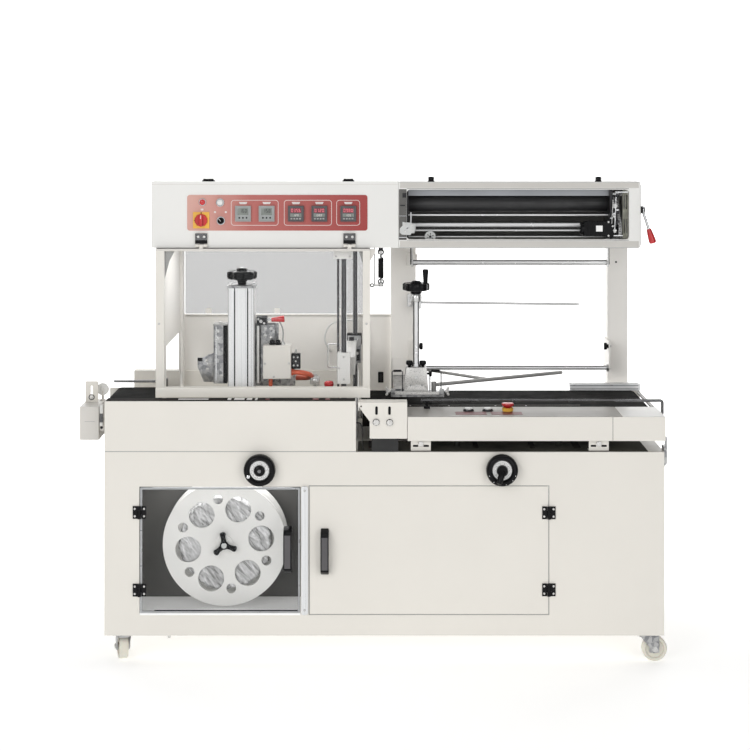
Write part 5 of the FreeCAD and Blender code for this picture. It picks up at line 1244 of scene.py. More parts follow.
# film clamp lever outside the box
parts = [lathe("l0", (812.6, 150, 1358), (1, 0, 0), [(0, -40), (8, -40), (8, 0.4), (11, 0.8), (11.4, 3), (11.4, 14), (10, 18.6), (5, 20.4), (0, 20.4)], BLACKG, None, 40),
         lathe("l0", (814.5, 150, 1358), (1, 0, 0), [(11.3, 0), (12.6, 0), (12.6, 3), (11.3, 3), (11.3, 0)], CHROME, None, 40),
         lathe("l0", (825.5, 150, 1358), (1, 0, 0), [(11.3, 0), (12.0, 0), (12.0, 2), (11.3, 2), (11.3, 0)], CHROME, None, 40),
         bar("l1", (826, 150, 1354), (845.4, 150, 1295), 4, CHROME, None),
         lathe("l2", (844.2, 150, 1299), Vector((13.6, 0, -44)), [(0, 0), (6.4, 0), (7.6, 3), (9.2, 16), (11, 34), (11.2, 40), (9.8, 45), (6, 46.6), (0, 47)], REDP, None, 40)]
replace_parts(join("film_clamp_lever", parts, "nip_clamp"), "nip_lever")

# ------------------------------------------------------------------ film rods, hangers, spring
trash = []
for o, lo, hi in islands("film_rods", width=0.5):
    s = hi - lo
    if lo.z > 1440:
        trash.append(o)
    elif hi.z < 910 and s.x < 60:
        trash.append(o)
    elif s.x < 30 and lo.x < 40:
        trash.append(o)
    elif s.z > 80 and s.x < 10:
        give(o, SCREW)
    else:
        give(o, SOFTR if s.x < 560 else ROD_PAINTED_REFLECTION)
kept = [q for q in trash if "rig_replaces" in q]
drop([q for q in trash if "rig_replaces" not in q])
for q in kept:
    give(q, BLACK)
for i, x in enumerate((172, 684)):
    lathe("lid_stop_%d" % i, (x, 112, 1446), (0, 0, 1), [(0, 0), (10.2, 0), (10.2, 3), (8.6, 4), (8.8, 11), (8.2, 14), (6, 15.7), (0, 16)], BLACKG, "frame", 36)
plate("low_bracket_left", [(510, 808), (590, 808), (590, 905), (510, 905)], [circ(520, 819, 7.4), circ(520, 890, 4)], "X", 136, 6, CREAM_PAINTED_LIGHT, "frame", 1.2)
block("low_bracket_left_pad", 110, 141, 586.6, 589.8, 808, 905, CREAM_PAINTED_LIGHT, "frame", 0.8)
plate("low_bracket_right", [(510, 808), (648, 808), (648, 905), (510, 905)], [circ(520, 819, 7.4), circ(520, 890, 4)], "X", 769, 6, CREAM_PAINTED_LIGHT, "frame", 1.2)
for nm, x, dr in (("left", 142, 1), ("right", 769, -1)):
    lathe("bracket_knob_" + nm, (x, 520, 890), (dr, 0, 0), [(0, -8), (3.8, -8), (3.8, 0), (6, 0.4), (6, 4), (9.5, 5), (11.5, 7), (11.5, 13), (9.5, 15.4), (0, 16)], BLACKG, "frame", 36)
for nm, x, dr in (("left", 142, 1), ("right", 769, -1)):
    lathe("low_rod_nut_" + nm, (x, 520, 819), (dr, 0, 0), [(7.2, 0), (13, 0), (13, 7), (7.2, 7), (7.2, 0)], SCREW, "frame", 6)
for nm, x, dr in (("left", 124.2, 1), ("right", 763.8, -1)):
    lathe("path_roller_collar_" + nm, (x, 520, 1166), (dr, 0, 0), [(4.3, -8), (8, -8), (8, -4.6), (4.3, -4.6), (4.3, -8)], BLACK, "frame", 6)
for nm, x in (("left", 118.0), ("right", 770.1)):
    join("roller_hanger_" + nm, [bar("h", (x, 520, 1173.4), (x, 520, 1244), 2.0, BOX_STEEL, None, 16), block("h", x - 1.7, x + 1.7, 513, 527, 1173.0, 1178, BOX_STEEL, None, 0.4)], "frame")
lathe("post_hole_plug", (803.5, 590, 1161.6), (0, -1, 0), [(0, 0), (3.4, 0), (3.2, 0.8), (0, 0.9)], BLACK, "frame", 20)
screws("left_post_nuts", [(121, 584, 1047), (121, 584, 1022)], 5.4, (0, -1, 0), SCREWW, kind="hex", head=5)
block("left_post_bracket", 105, 140, 560, 589.8, 1152, 1190, CREAM_PAINTED_LIGHT, "frame", 1.5)

# balance spring beside the hood: coil, end loops, stay and two clamp blocks
pts = []
turns, r = 20, 7.0
for i in range(turns * 14 + 1):
    a = 2 * math.pi * i / 14
    pts.append((18 + r * math.cos(a), 120 + r * math.sin(a), 1151 + 60 * i / (turns * 14)))
pts = [(18, 120, 1146.6), (19, 120, 1149)] + pts + [(20.4, 120, 1213), (18, 120, 1215), (18, 120, 1222)]
tube("spring_coil", pts, 1.6, BLACK, "frame", 0, 8)
parts = []
for zc in (1131, 1230):
    zr = zc + (8 if zc < 1200 else 0)
    loop = [(18 + 8 * math.cos(math.radians(t)), 120, zr + 8 * math.sin(math.radians(t))) for t in range(-80 if zc > 1200 else 100, (250 if zc > 1200 else 430), 20)]
    parts.append(tube("h", loop, 2.0, BOX_STEEL, None, 0, 8))
    parts.append(bar("h", (18, 110, zc), (18, 148, zc), 2.6, CHROME, None, 16))
    parts.append(lathe("h", (18, 112, zc), (0, -1, 0), [(0, 0), (5.4, 0), (5.4, 4), (0, 4)], SCREW, None, 6))
join("spring_ends", parts, "frame")
join("spring_side_rod", [bar("h", (-1.5, 120, 1128), (-1.5, 120, 1243.6), 1.3, BOX_STEEL, None, 12), lathe("h", (-9, 120, 1128), (0, -1, 0), [(3, -2), (6.4, -2), (6.4, 2), (3, 2), (3, -2)], BLACK, None, 24),
                              block("h", -5, 12, 117, 123, 1125, 1131, SCREW, None, 0.6)], "frame")
join("spring_stay", [bar("h", (18, 148, 1122), (18, 148, 1244), 3, CHROME, None), block("h", 11, 25, 140, 156, 1122, 1134, BLACK, None, 1.2), block("h", 11, 25, 140, 156, 1230, 1244, BLACK, None, 1.2)], "frame")

# ------------------------------------------------------------------ film former
for o, lo, hi in islands("former_base", width=0.5):
    give(o, ZINC if hi.z > 900 or hi.x < 240 and hi.y < 300 else SOFTR)
lathe("former_screw_sleeve", (129, 240, 786), (0, 0, 1), [(0, 0), (9.54, 0), (9.54, 294), (0, 294)], ROD_PAINTED_REFLECTION, "frame", 40)
parts = [lathe("a", (129, 240, 1066), (0, 0, 1), [(9.6, 0), (16, 0), (17, 1.5), (17, 20), (16, 21.5), (9.6, 21.5), (9.6, 0)], SCREW, None, 40),
         block("a", 112, 118, 228, 252, 1068, 1086, SCREW, None, 1.2), block("a", 140, 146, 228, 252, 1068, 1086, SCREW, None, 1.2)]
join("former_top_clamp", parts, "frame")
parts = [plate("b", [(91, 787), (167, 787), (163, 838), (160, 862), (99, 862), (95, 838)], [circ(111, 806, 3.2), circ(147, 806, 3.2)], "Y", 214.6, 3, SCREWW, None, 0.8),
         plate("b", [(91, 787), (167, 787), (163, 838), (160, 862), (99, 862), (95, 838)], [], "Y", 262.6, 3, SCREWW, None, 0.8),
         block("b", 96, 117, 218, 262, 787, 860, ZINC, None, 1.0), block("b", 141, 162, 218, 262, 787, 860, ZINC, None, 1.0),
         lathe("b", (129, 240, 787), (0, 0, 1), [(9.7, 0), (15, 0), (15, 84), (9.7, 84), (9.7, 0)], CHROME, None, 40)]
for x in (108, 150):
    parts.append(lathe("b", (x, 240, 860), (0, 0, 1), [(0, 0), (5, 0), (5, 6), (9, 8), (11, 11), (11, 17), (8.5, 21), (0, 22)], BLACKG, None, 32))
parts.append(lathe("b", (129, 214.6, 832), (0, -1, 0), [(0, 0), (6, 0), (6, 5), (0, 5)], SCREW, None, 6))
parts.append(lathe("b", (129, 214.6, 806), (0, -1, 0), [(0, 0), (4.4, 0), (4.4, 4), (0, 4)], SCREW, None, 6))
parts.append(lathe("b", (165, 240, 840), (1, 0, 0), [(0, -4), (3.5, -4), (3.5, 3), (9, 5), (9.4, 8), (9, 13), (0, 14)], BLACKG, None, 32))
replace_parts(join("former_slider", parts, "former_slide"), "former_block")
# wire guards and wing nuts on the base plate
tube("former_loop_left", [(54, 236, 779), (54, 236, 849), (86, 236, 849), (86, 236, 779)], 1.9, DCHROME, "frame", 6, 12)
tube("former_loop_right", [(172, 236, 779), (172, 236, 849), (207, 236, 849), (207, 236, 779)], 1.9, DCHROME, "frame", 6, 12)
bar("former_loop_grip_l", (58, 236, 849), (82, 236, 849), 3.6, BLACK, "frame", 16)
bar("former_loop_grip_r", (176, 236, 849), (203, 236, 849), 3.6, BLACK, "frame", 16)
block("former_up_cover", 58.5, 111.5, 581.6, 583.8, 786, 842, CREAM_PAINTED_LIGHT, "frame", 0.5)
block("former_plate_dress", 49.5, 215.5, 195.5, 284.5, 779.0, 780.2, ZINC, "frame", 0.4)
block("former_plate_rail", 62, 200, 196, 206, 780, 789, SCREWW, "frame", 1.2)
for nm, x, dr in (("left", 49.6, -1), ("right", 215.4, 1)):
    parts = [bar("n", (x, 215, 788), (x + dr * 16, 215, 788), 3, SCREW, None, 16), block("n", min(x, x - dr * 14), max(x, x - dr * 14), 206, 224, 780, 796, ZINC, None, 1.0),
             lathe("n", (x + dr * 4, 215, 788), (dr, 0, 0), [(0, 0), (6, 0), (5, 7), (0, 7)], SCREWW, None, 24)]
    for sg in (-1, 1):
        parts.append(lathe("n", (x + dr * 8, 215, 788), Vector((dr * 0.5, 0, sg)), [(0, 3), (3.4, 4), (4.4, 9), (3.6, 14), (0, 16)], SCREWW, None, 16))
    join("wing_nut_" + nm, parts, "frame")
wheel = lobed("k0", 129, 240, [(0, 1089.5), (10, 1089.5), (17, 1091), (19, 1099), (28, 1102), (39, 1100.5), (42.6, 1102), (43.6, 1105), (43.6, 1119), (42.4, 1122), (39, 1124), (27, 1122), (19, 1123), (17, 1126), (12.6, 1130), (8, 1131), (0, 1131)], 5, 0.14, BLACKG, None, 0.3)
grip = lathe("k1", (158, 228, 1112), (0, 0, 1), [(0, 0), (4, 0), (4, 9), (7.6, 10), (7.0, 14), (7.2, 24), (8.4, 38), (9.4, 50), (9.0, 54), (6.6, 56), (0, 56.4)], BLACKG, None, 36)
cap = lathe("k2", (129, 240, 1130.6), (0, 0, 1), [(0, 0), (6, 0), (5.4, 1), (0, 1.3)], CHROME, None, 24)
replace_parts(join("former_crank_wheel", [wheel, grip, cap], "crank_wheel"), "former_crank")

# ------------------------------------------------------------------ vertical sealing unit
for o, lo, hi in islands("seal_column", width=0.6):
    give(o, ALU_W if hi.z - lo.z > 100 else ZINC)
# dark slot floors and edge lines on the column: painted shade
boxes("column_slot_floor", [(x - 1.9, x + 1.9, 122.2, 127.9, 645, 1109) for x in (-431, -391)], DARK, "frame")
boxes("column_slot_lips", [(x + a, x + b, 121.7, 127.4, 645, 1109.8) for x in (-431, -391) for a, b in ((-3.9, -1.9), (1.9, 3.9))], ALU_W, "frame")
boxes("column_slot_top", [(x - 1.5, x + 1.5, 121.5, 122.1, 1108, 1118.6) for x in (-431, -391)], DARK, "frame")
boxes("column_edges", [(-451.3, -449.2, 121.6, 122.4, 641, 1118), (-373.0, -370.7, 121.6, 122.4, 641, 1118), (-380.5, -379.3, 121.6, 122.4, 641, 1118)], GUSSET, "frame")
screws("column_cap_screws", [(-445, 128, 1126), (-377, 128, 1126), (-445, 196, 1126), (-377, 196, 1126)], 4, (0, 0, 1), SCREW, kind="socket", head=3)
block("column_foot", -462, -360, 112, 212, 639, 651, ZINC, "frame", 1.5)
star = lobed("k0", -411, 162, [(0, 1126.5), (13, 1126.5), (14, 1135), (17, 1141), (26, 1144), (40, 1143), (45, 1146), (47, 1150), (47, 1163), (45, 1167), (40, 1169), (26, 1167), (18, 1170), (17, 1175), (13, 1178), (0, 1178)], 6, 0.16, BLACKG, None, 0.25)
nut = lathe("k1", (-411, 162, 1177.6), (0, 0, 1), [(0, 0), (6.5, 0), (6, 1.6), (0, 2)], SCREW, None, 24)
shaft = lathe("k2", (-411, 162, 920), (0, 0, 1), [(0, 0), (7.96, 0), (7.96, 207), (0, 207)], STEEL_Z, None, 28)
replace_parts(join("seal_star_wheel", [star, nut, shaft], "seal_wheel"), "seal_handwheel")

unit = []
for o, lo, hi in islands("seal_unit", width=0.6):
    s = hi - lo
    if s.x > 150:
        unit.append(o)
        give(o, ZINC)
    elif s.z > 95 and hi.y < 180:
        give(o, CREAM)
    elif lo.z > 1000:
        give(o, BOX_STEEL)
    else:
        give(o, ZINC)
plate("seal_bracket_face", [(-500, 822), (-532, 822), (-551, 868), (-551, 897), (-536, 897), (-500, 912)], [], "Y", 186, 5, ZINC, "seal_carriage", 0.8)
for q in unit:
    bpy.data.objects.remove(q)
parts = [block("u", -500, -300, 202.6, 210, 822, 1002, ZINC, None, 0.8), block("u", -498, -495, 150, 202.6, 822, 1004, ZINC, None, 0.5), block("u", -459, -456, 150, 202.6, 822, 1004, ZINC, None, 0.5),
         block("u", -498, -456, 150, 153, 822, 1004, ZINC, None, 0.8), block("u", -355, -310, 180, 202.6, 822, 1002, ZINC, None, 0.8), block("u", -430, -250, 210, 262, 806, 866, ZINC, None, 1.2),
         block("u", -520, -498, 191, 208, 826, 905, ZINC, None, 0.8)]
seal_frame = join("seal_unit_frame", parts, "seal_carriage")
if "seal_unit" not in [n for q in bpy.data.objects for n in list(q.get("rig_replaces", []))]:
    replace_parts(seal_frame, "seal_unit")
screws("seal_bracket_screws", [(-522, 186, 889), (-517, 186, 876), (-520, 186, 862)], 4.6, (0, -1, 0), SCREWW, "seal_carriage", head=3)
block("seal_bracket_tip", -551, -536, 183.5, 186.4, 886, 897, BLACK, "seal_carriage", 1.0)
screws("seal_channel_screws", [(-485, 150, 984), (-485, 150, 962), (-472, 150, 846)], 4.6, (0, -1, 0), SCREW, "seal_carriage", head=3.2, kind="hex")
block("seal_channel_cap", -500, -454, 149, 203, 1001.5, 1005.5, GUSSET, "seal_carriage", 0.8)
screws("seal_channel_top_nut", [(-478, 168, 1005.5)], 6, (0, 0, 1), SCREW, "seal_carriage", head=6, kind="hex")
block("seal_channel_dark", -468, -456.2, 148.2, 202, 823, 1001, BLACK, "seal_carriage", 0.6)
block("seal_channel_rib", -492, -488, 148.4, 150.6, 824, 998, WIRE, "seal_carriage", 0.6)
block("seal_side_strip", -364.5, -357.2, 150, 156, 823, 1000, WHITE, "seal_carriage", 0.6)
block("seal_unit_lid", -356.5, -309.5, 168, 203, 1002.2, 1003.6, BOX_STEEL, "seal_carriage", 0.3)
block("seal_rail", -366, -356.6, 170, 200, 823, 1001, DARK, "seal_carriage", 0.8)
screws("seal_plate_screws", [(-341, 180, 988), (-322, 180, 988), (-341, 180, 966), (-322, 180, 960)], 4.4, (0, -1, 0), SCREW, "seal_carriage", head=3.2, kind="hex")
# toggle clamp
parts = [plate("t", [(-365, 1003), (-338, 1003), (-338, 1020), (-346, 1026), (-360, 1026), (-366, 1016)], [], "Y", 150, 2.2, BOX_STEEL, None, 0.5),
         lathe("t", (-352, 150, 1014), (0, -1, 0), [(0, 0), (5, 0), (5, 2.4), (0, 2.4)], SCREW, None, 24),
         lathe("t", (-342, 150, 1008), (0, -1, 0), [(0, 0), (3.6, 0), (3.6, 2.4), (0, 2.4)], SCREW, None, 24),
         lathe("t", (-360, 150, 1021), (0, -1, 0), [(0, 0), (3.4, 0), (3.4, 2.4), (0, 2.4)], SCREW, None, 24)]
join("toggle_base_cheek", parts, "seal_carriage")
g0, g1 = Vector((-321, 176, 1015.6)), Vector((-280, 176, 1019.5))
parts = [lathe("t", (-345, 168.6, 1015), (0, 1, 0), [(0, 0), (5, 0), (5, 14.8), (0, 14.8)], SCREW, None, 24),
         bar("t", (-343, 176, 1015), (-318, 176, 1018.6), 3.5, CHROME, None, 16),
         plate("t", [(-349, 1011), (-330, 1012), (-318, 1016.4), (-318, 1020.6), (-338, 1021), (-349, 1018)], [], "Y", 173.6, 4.8, CHROME, None, 0.6),
         lathe("t", g0, g1 - g0, [(0, 0), (5.6, 0), (6.2, 2), (7.0, 12), (8.8, 26), (10.4, 37), (10.2, 40), (7.6, 41), (0, 41.2)], REDP, None, 32)]
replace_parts(join("toggle_handle", parts, "toggle"), "toggle_lever")
# junction box: lid, corner screws, glands, switch beside it
block("junction_lid", -343.2, -258.8, 121.6, 124.2, 840.8, 941.2, CREAM, "seal_carriage", 1.3)
screws("junction_screws", [(-337.5, 121.6, 887), (-264.5, 121.6, 888), (-311, 121.6, 847)], 3.2, (0, -1, 0), SCREW, "seal_carriage", head=1.6)
parts = []
for x in (-317, -299):
    parts.append(lathe("g", (x, 150, 942), (0, 0, 1), [(0, 0), (9, 0), (9, 5), (7.6, 5.4), (7.6, 12), (5, 15), (0, 15)], BLACK, None, 6 if x < -310 else 24))
parts.append(lathe("g", (-284, 150, 942), (0, 0, 1), [(2.2, 0), (6.5, 0), (6.5, 6), (5, 9), (2.2, 9), (2.2, 0)], SCREW, None, 24))
join("junction_glands", parts, "seal_carriage")
parts = [block("g", -257.8, -230, 138, 166, 869, 915, BLACK, None, 1.4), block("g", -254, -234, 135.6, 138.4, 874, 911, BOX_STEEL, None, 0.8)]
parts += [lathe("g", (x, 135.6, z), (0, -1, 0), [(0, 0), (2.9, 0), (2.6, 1.4), (0, 1.6)], SCREW, None, 16) for x, z in ((-250, 905), (-238, 905), (-250, 880), (-238, 880), (-244, 892.5))]
parts.append(lathe("g", (-244, 152, 915), (0, 0, 1), [(0, 0), (5, 0), (5, 4), (3, 6), (3, 12), (0, 13)], SCREW, None, 20))
join("limit_switch", parts, "seal_carriage")
parts = [lathe("g", (-322, 150, 840), (0, 0, -1), [(0, 0), (8, 0), (8, 4), (6.2, 5), (6.2, 24), (5, 26), (0, 26)], ORANGE, None, 28)]
join("junction_air_stub", parts, "seal_carriage")
parts = [lathe("g", (-257.8, 150, 858), (1, 0, 0), [(8.3, 0), (10.4, 0), (10.4, 5), (9.2, 6), (9.2, 9), (8.3, 9), (8.3, 0)], ORANGE, None, 28)]
join("hose_collar_box", parts, "seal_carriage")
for o, lo, hi in islands("air_hose", width=0):
    give(o, ORANGE if hi.z < 900 else CABLE)
# bar below the head, end stop, valve with red knob on the deck
parts = [lathe("v", (-143, 184, 639), (0, 0, 1), [(0, 0), (14, 0), (14, 6), (5, 8), (5, 158), (8, 160), (8, 168), (0, 168)], STEEL_Z, None, 32),
         lathe("v", (-143, 184, 806), (0, 0, 1), [(0, 0), (10, 0), (14, 4), (15.4, 9), (14.4, 15), (10, 19), (0, 20.6)], REDP, None, 40)]
join("deck_valve", parts, "frame")
parts = [block("v", -200, -172, 176, 204, 812, 838, SCREW, None, 2.0), lathe("v", (-186, 176, 826), (0, -1, 0), [(0, 0), (8, 0), (8, 6), (5, 7), (5, 14), (0, 14)], SCREW, None, 6),
         lathe("v", (-186, 190, 838), (0, 0, 1), [(0, 0), (5, 0), (5, 8), (0, 8)], SCREW, None, 6), lathe("v", (-186, 190, 639), (0, 0, 1), [(0, 0), (12, 0), (12, 6), (5, 8), (5, 173), (0, 173)], STEEL_Z, None, 24)]
join("deck_regulator", parts, "frame")

# ------------------------------------------------------------------ cross sealing unit
for o, lo, hi in islands("cross_seal_guides", width=0.6):
    s = hi - lo
    if s.z > 400:
        give(o, SHAFT_PAINTED_REFLECTION)
    elif lo.z > 1200:
        give(o, WHITE)
    elif s.y > 300:
        give(o, ALU_X)
    else:
        give(o, WPLAST)
for o, lo, hi in islands("cross_seal_jaw", width=1.0):
    give(o, WHITE)
block("jaw_heat_bar", -91, -77, 214, 564, 833.2, 841, BOX_STEEL, "jaw", 0.8)
parts = [block("j", -91.4, -46.6, 585.6, 589.6, 826, 917, ZINC, None, 0.8), block("j", -86, -70, 582.6, 586, 880, 912, BOX_STEEL, None, 0.8), block("j", -64, -50, 582.6, 586, 834, 872, DARK, None, 0.8),
         lathe("j", (-78, 585.6, 866), (0, -1, 0), [(0, 0), (9, 0), (9, 3), (6.6, 4), (6.6, 7), (0, 7)], SCREW, None, 6), lathe("j", (-60, 582.6, 858), (0, -1, 0), [(0, 0), (5, 0), (5, 3), (0, 3.4)], SCREWW, None, 24),
         lathe("j", (-80, 585.6, 840), (0, -1, 0), [(0, 0), (6, 0), (6, 4), (0, 4.4)], SCREWW, None, 6), bar("j", (-56, 583, 912), (-70, 583, 846), 2.2, WIRE, None, 12)]
join("jaw_rear_dress", parts, "jaw")
block("jaw_rear_fitting", -94, -44.4, 586, 634, 887, 921, BLACK, "jaw", 1.5)
screws("jaw_front_screws", [(-96, 130, 906), (-96, 130, 838), (-110, 130, 872)], 3.4, (0, -1, 0), SCREW, "jaw", head=2.4)
parts = [bar("j", (-80, 604, 890), (-72, 596, 842), 4.4, CHROME, None, 20), lathe("j", (-71, 600, 829), (0, -1, 0), [(4.6, 0), (11, 0), (11.6, 1), (11.6, 8), (11, 9), (4.6, 9), (4.6, 0)], CHROME, None, 36),
         lathe("j", (-71, 600, 829), (0, -1, 0), [(0, -2), (4.4, -2), (4.4, 12), (0, 12)], BOX_STEEL, None, 20)]
join("jaw_rod_end", parts, "jaw")
tube("jaw_wire_guard", [(-105, 262, 892), (-112, 262, 930), (-148, 262, 930), (-148, 262, 856), (-105, 262, 856)], 1.9, WIRE, "jaw", 5, 10)
parts = [bar("c", (-66, 585, 935), (-66, 585, 1010), 9, BOX_STEEL, None, 32), bar("c", (-66, 585, 1010), (-66, 585, 1200), 4, CHROME, None, 20), block("c", -80, -52, 571, 600, 1206, 1212, ZINC, None, 0.8)]
drop(parts)
for nm, x, y in (("front", -96, 150), ("rear", -66, 610)):
    lathe("guide_foot_" + nm, (x, y, 639), (0, 0, 1), [(9.1, 0), (22, 0), (22, 8), (16, 10), (16, 22), (9.1, 22), (9.1, 0)], ZINC, "frame", 40)
screws("jaw_top_screws", [(-120, 130, 1236), (-78, 130, 1236), (-120, 130, 1216), (-78, 130, 1216)], 3, (0, -1, 0), SCREW, head=1.6, kind="socket")
# a second, darker guide rod behind the front shaft, standing on a foot
bar("guide_rod_dark_l", (-114, 168, 1208), (-114, 168, 650), 3.6, DCHROME, "frame", 20)
lathe("guide_rod_dark_foot", (-114, 168, 639), (0, 0, 1), [(0, 0), (7, 0), (7, 12), (0, 12)], ZINC, "frame", 24)

# ------------------------------------------------------------------ back wall details
block("wall_socket", 10.5, 28.5, 653.6, 656.9, 750, 786, BLACK, "frame", 1.2)
parts = [lathe("s", (19.5, 653.6, z), (0, -1, 0), [(0, 0), (4.6, 0), (4.6, 1.4), (0, 1.6)], BOX_STEEL, None, 20) for z in (776, 767, 758)]
join("wall_socket_keys", parts, "frame")
tube("back_wall_hem", [(-640, 654.2, 979), (54, 654.2, 979)], 2.4, CREAM_PAINTED_LIGHT, "frame", 0, 10)
boxes("back_wall_hem_shade", [(-640, 54, 656.2, 656.8, 970.5, 973.5)], CREAM2)
boxes("rear_pane_clips", [(x - 9, x + 9, 655.2, 656.6, 983, 1001) for x in (-560, -330, -110)], CREAM_PAINTED_LIGHT)

# ------------------------------------------------------------------ hood
NODES["hood_frame"].modifiers["edge"].segments = 3

bm = bmesh.new()
prof = [(86.0, 818), (84.6, 816.4), (84.0, 812), (84.0, 793.5), (85.0, 789.6), (87.0, 788.2), (90, 788.2), (90, 818)]
ends = []
for x in (-669, -15):
    ends.append([bm.verts.new(W(x, y, z)) for y, z in prof])
for i in range(len(prof)):
    j = (i + 1) % len(prof)
    bm.faces.new((ends[0][i], ends[0][j], ends[1][j], ends[1][i]))
bm.faces.new(ends[0]); bm.faces.new(ends[1][::-1])
# the lower lip is painted lighter against its shade
finish_mesh("hood_bottom_lip", bm, LIP_PAINTED_LIGHT, "hood", angle=25)
block("hood_top_strip", -668.5, -15.5, 84.6, 86.4, 1236.5, 1242.6, CREAM2, "hood", 0.5)
# painted shade in the gap above the hood
boxes("hood_top_gap", [(-668, -16, 93, 97.5, 1242.6, 1244.4)], DARK, "frame")
screws("hood_side_screws", [(-658.6, 86, 1013.8), (-26, 86, 1013.8)], 3.4, (0, -1, 0), SCREW, "hood", head=1.6)
plate("hood_gusset_right", [(-14.8, 1242), (2, 1242), (0, 1228), (-14.8, 1204)], [], "Y", 91, 2.5, CREAM2, "hood", 0.5)
plate("hood_gusset_left", [(-642.5, 1234.5), (-642.5, 1150), (-628, 1204), (-612, 1234.5)], [], "Y", 97, 2.5, GUSSET, "hood", 0.5)
plate("hood_gusset_left2", [(-37.5, 1234.5), (-37.5, 1198), (-50, 1234.5)], [], "Y", 97, 2.5, GUSSET, "hood", 0.5)
# seal strip round the pane
plate("hood_pane_rim", rrect(-645, -35, 820, 1237, 3), [rrect(-642.6, -37.4, 822.4, 1234.6, 2)], "Y", 87.2, 1.4, CREAM2, "hood", 0.3)

# aluminium edging of the cabinet window and its dark lower gasket
plate("window_edging", rrect(-704.6, -225.4, 155.4, 532.6, 3), [rrect(-698.5, -230.5, 161.5, 526.5, 2)], "Y", -0.9, 7.8, ALU_D, "window_door", 0.5)
block("window_lower_gasket", -662, -232, -1.1, 0.4, 162.2, 165.2, BLACK, "window_door", 0.3)

# ------------------------------------------------------------------ casters
for o, lo, hi in islands("drives_and_caster_plates", width=0.8):
    give(o, SCREWW if (hi - lo).x < 26 and hi.z < 100 else ZINC)
CAST = {"front_left": (-761, 50, 105), "front_right": (821, 50, 0), "rear_left": (-761, 650, 80), "rear_right": (821, 650, 20)}
for nm, (x, y, deg) in CAST.items():
    dress("fork_" + nm, ZINC, width=0.9)
    dress("wheel_" + nm, NYLON, width=0.5)
    a = math.radians(deg)
    ax = Vector((-math.sin(a), math.cos(a), 0))
    hub = Vector((x + 24 * math.cos(a), y + 24 * math.sin(a), 37.5))
    parts = []
    for sg in (-1, 1):
        parts.append(lathe("c", hub + ax * (sg * 14.6), ax * sg, [(5.2, 0), (10, 0), (10.4, 0.8), (9, 1.8), (5.2, 1.8), (5.2, 0)], GPLAST, None, 32))
    join("wheel_hub_" + nm, parts, "roll_" + nm)
    parts = [lathe("c", hub + ax * 19.0, ax, [(0, 0), (8, 0), (8, 5), (6.6, 6), (0, 6)], SCREW, None, 6), lathe("c", hub - ax * 19.0, -ax, [(0, 0), (8.4, 0), (8, 3.4), (5, 4.4), (0, 4.6)], SCREW, None, 28),
             lathe("c", (x, y, 73), (0, 0, 1), [(0, 0), (23, 0), (25, 2), (25, 7), (20, 8.6), (0, 8.6)], ZINC, None, 40)]
    for sg in (-1, 1):
        bm = bmesh.new()
        leg = []
        f = Vector((math.cos(a), math.sin(a), 0))
        c0 = Vector((x, y, 0)) + ax * (sg * 18.2)
        prof = [(-20, 77), (26, 77), (38, 52), (36, 34), (30, 27), (20, 26), (13, 31), (6, 46), (-12, 66)]
        for off in (0, sg * 2.0):
            row = [c0 + ax * off + f * u + Vector((0, 0, w)) for u, w in prof]
            leg.append([bm.verts.new(W(min(q.x, 890.4), q.y, q.z)) for q in row])
        n = len(prof)
        for i in range(n):
            bm.faces.new((leg[0][i], leg[0][(i + 1) % n], leg[1][(i + 1) % n], leg[1][i]))
        bm.faces.new(leg[0]); bm.faces.new(leg[1][::-1])
        parts.append(finish_mesh("c", bm, ZINC, None, angle=25, bevel=0.5))
    join("fork_cheeks_" + nm, parts, "caster_" + nm)
    screws("caster_bolts_" + nm, [(x + sx * 27, y + sy * 22, 84) for sx in (-1, 1) for sy in (-1, 1)], 5.4, (0, 0, -1), SCREW, kind="hex", head=4)

# ------------------------------------------------------------------ right end bracket, rear fittings
plate("end_bracket", [(22, 560), (60, 560), (60, 633), (48, 651), (22, 651)], [slot_loop(41, 590, 26, 3.5, True), slot_loop(41, 624, 18, 3.5, True)], "X", 868.4, 3, ZINC, "frame", 0.5)
block("end_bracket_foot", 868.2, 879, 22, 60, 648, 651, ZINC, "frame", 0.6)
plate("end_flange_front", [(868.4, 590), (880, 600), (880, 681), (872.8, 681), (872.8, 650), (868.4, 650)], [], "Y", 22, 3, ZINC, "frame", 0.4)
screws("end_bracket_bolts", [(871.4, 41, 590), (871.4, 41, 624)], 5.4, (1, 0, 0), SCREW, kind="hex", head=4.5)

# ------------------------------------------------------------------ camera, floor, light
cam = bpy.data.cameras.new("view")
cam.lens = 84.8
cam.sensor_width = 36
cam.sensor_fit = "HORIZONTAL"
cam.shift_x = 0.0
cam.shift_y = -0.34
cam.clip_end = 60
co = bpy.data.objects.new("view", cam)
scene.collection.objects.link(co)
co.location = W(0, -5300, 1635)
co.rotation_euler = (math.radians(90), 0, 0)
scene.camera = co

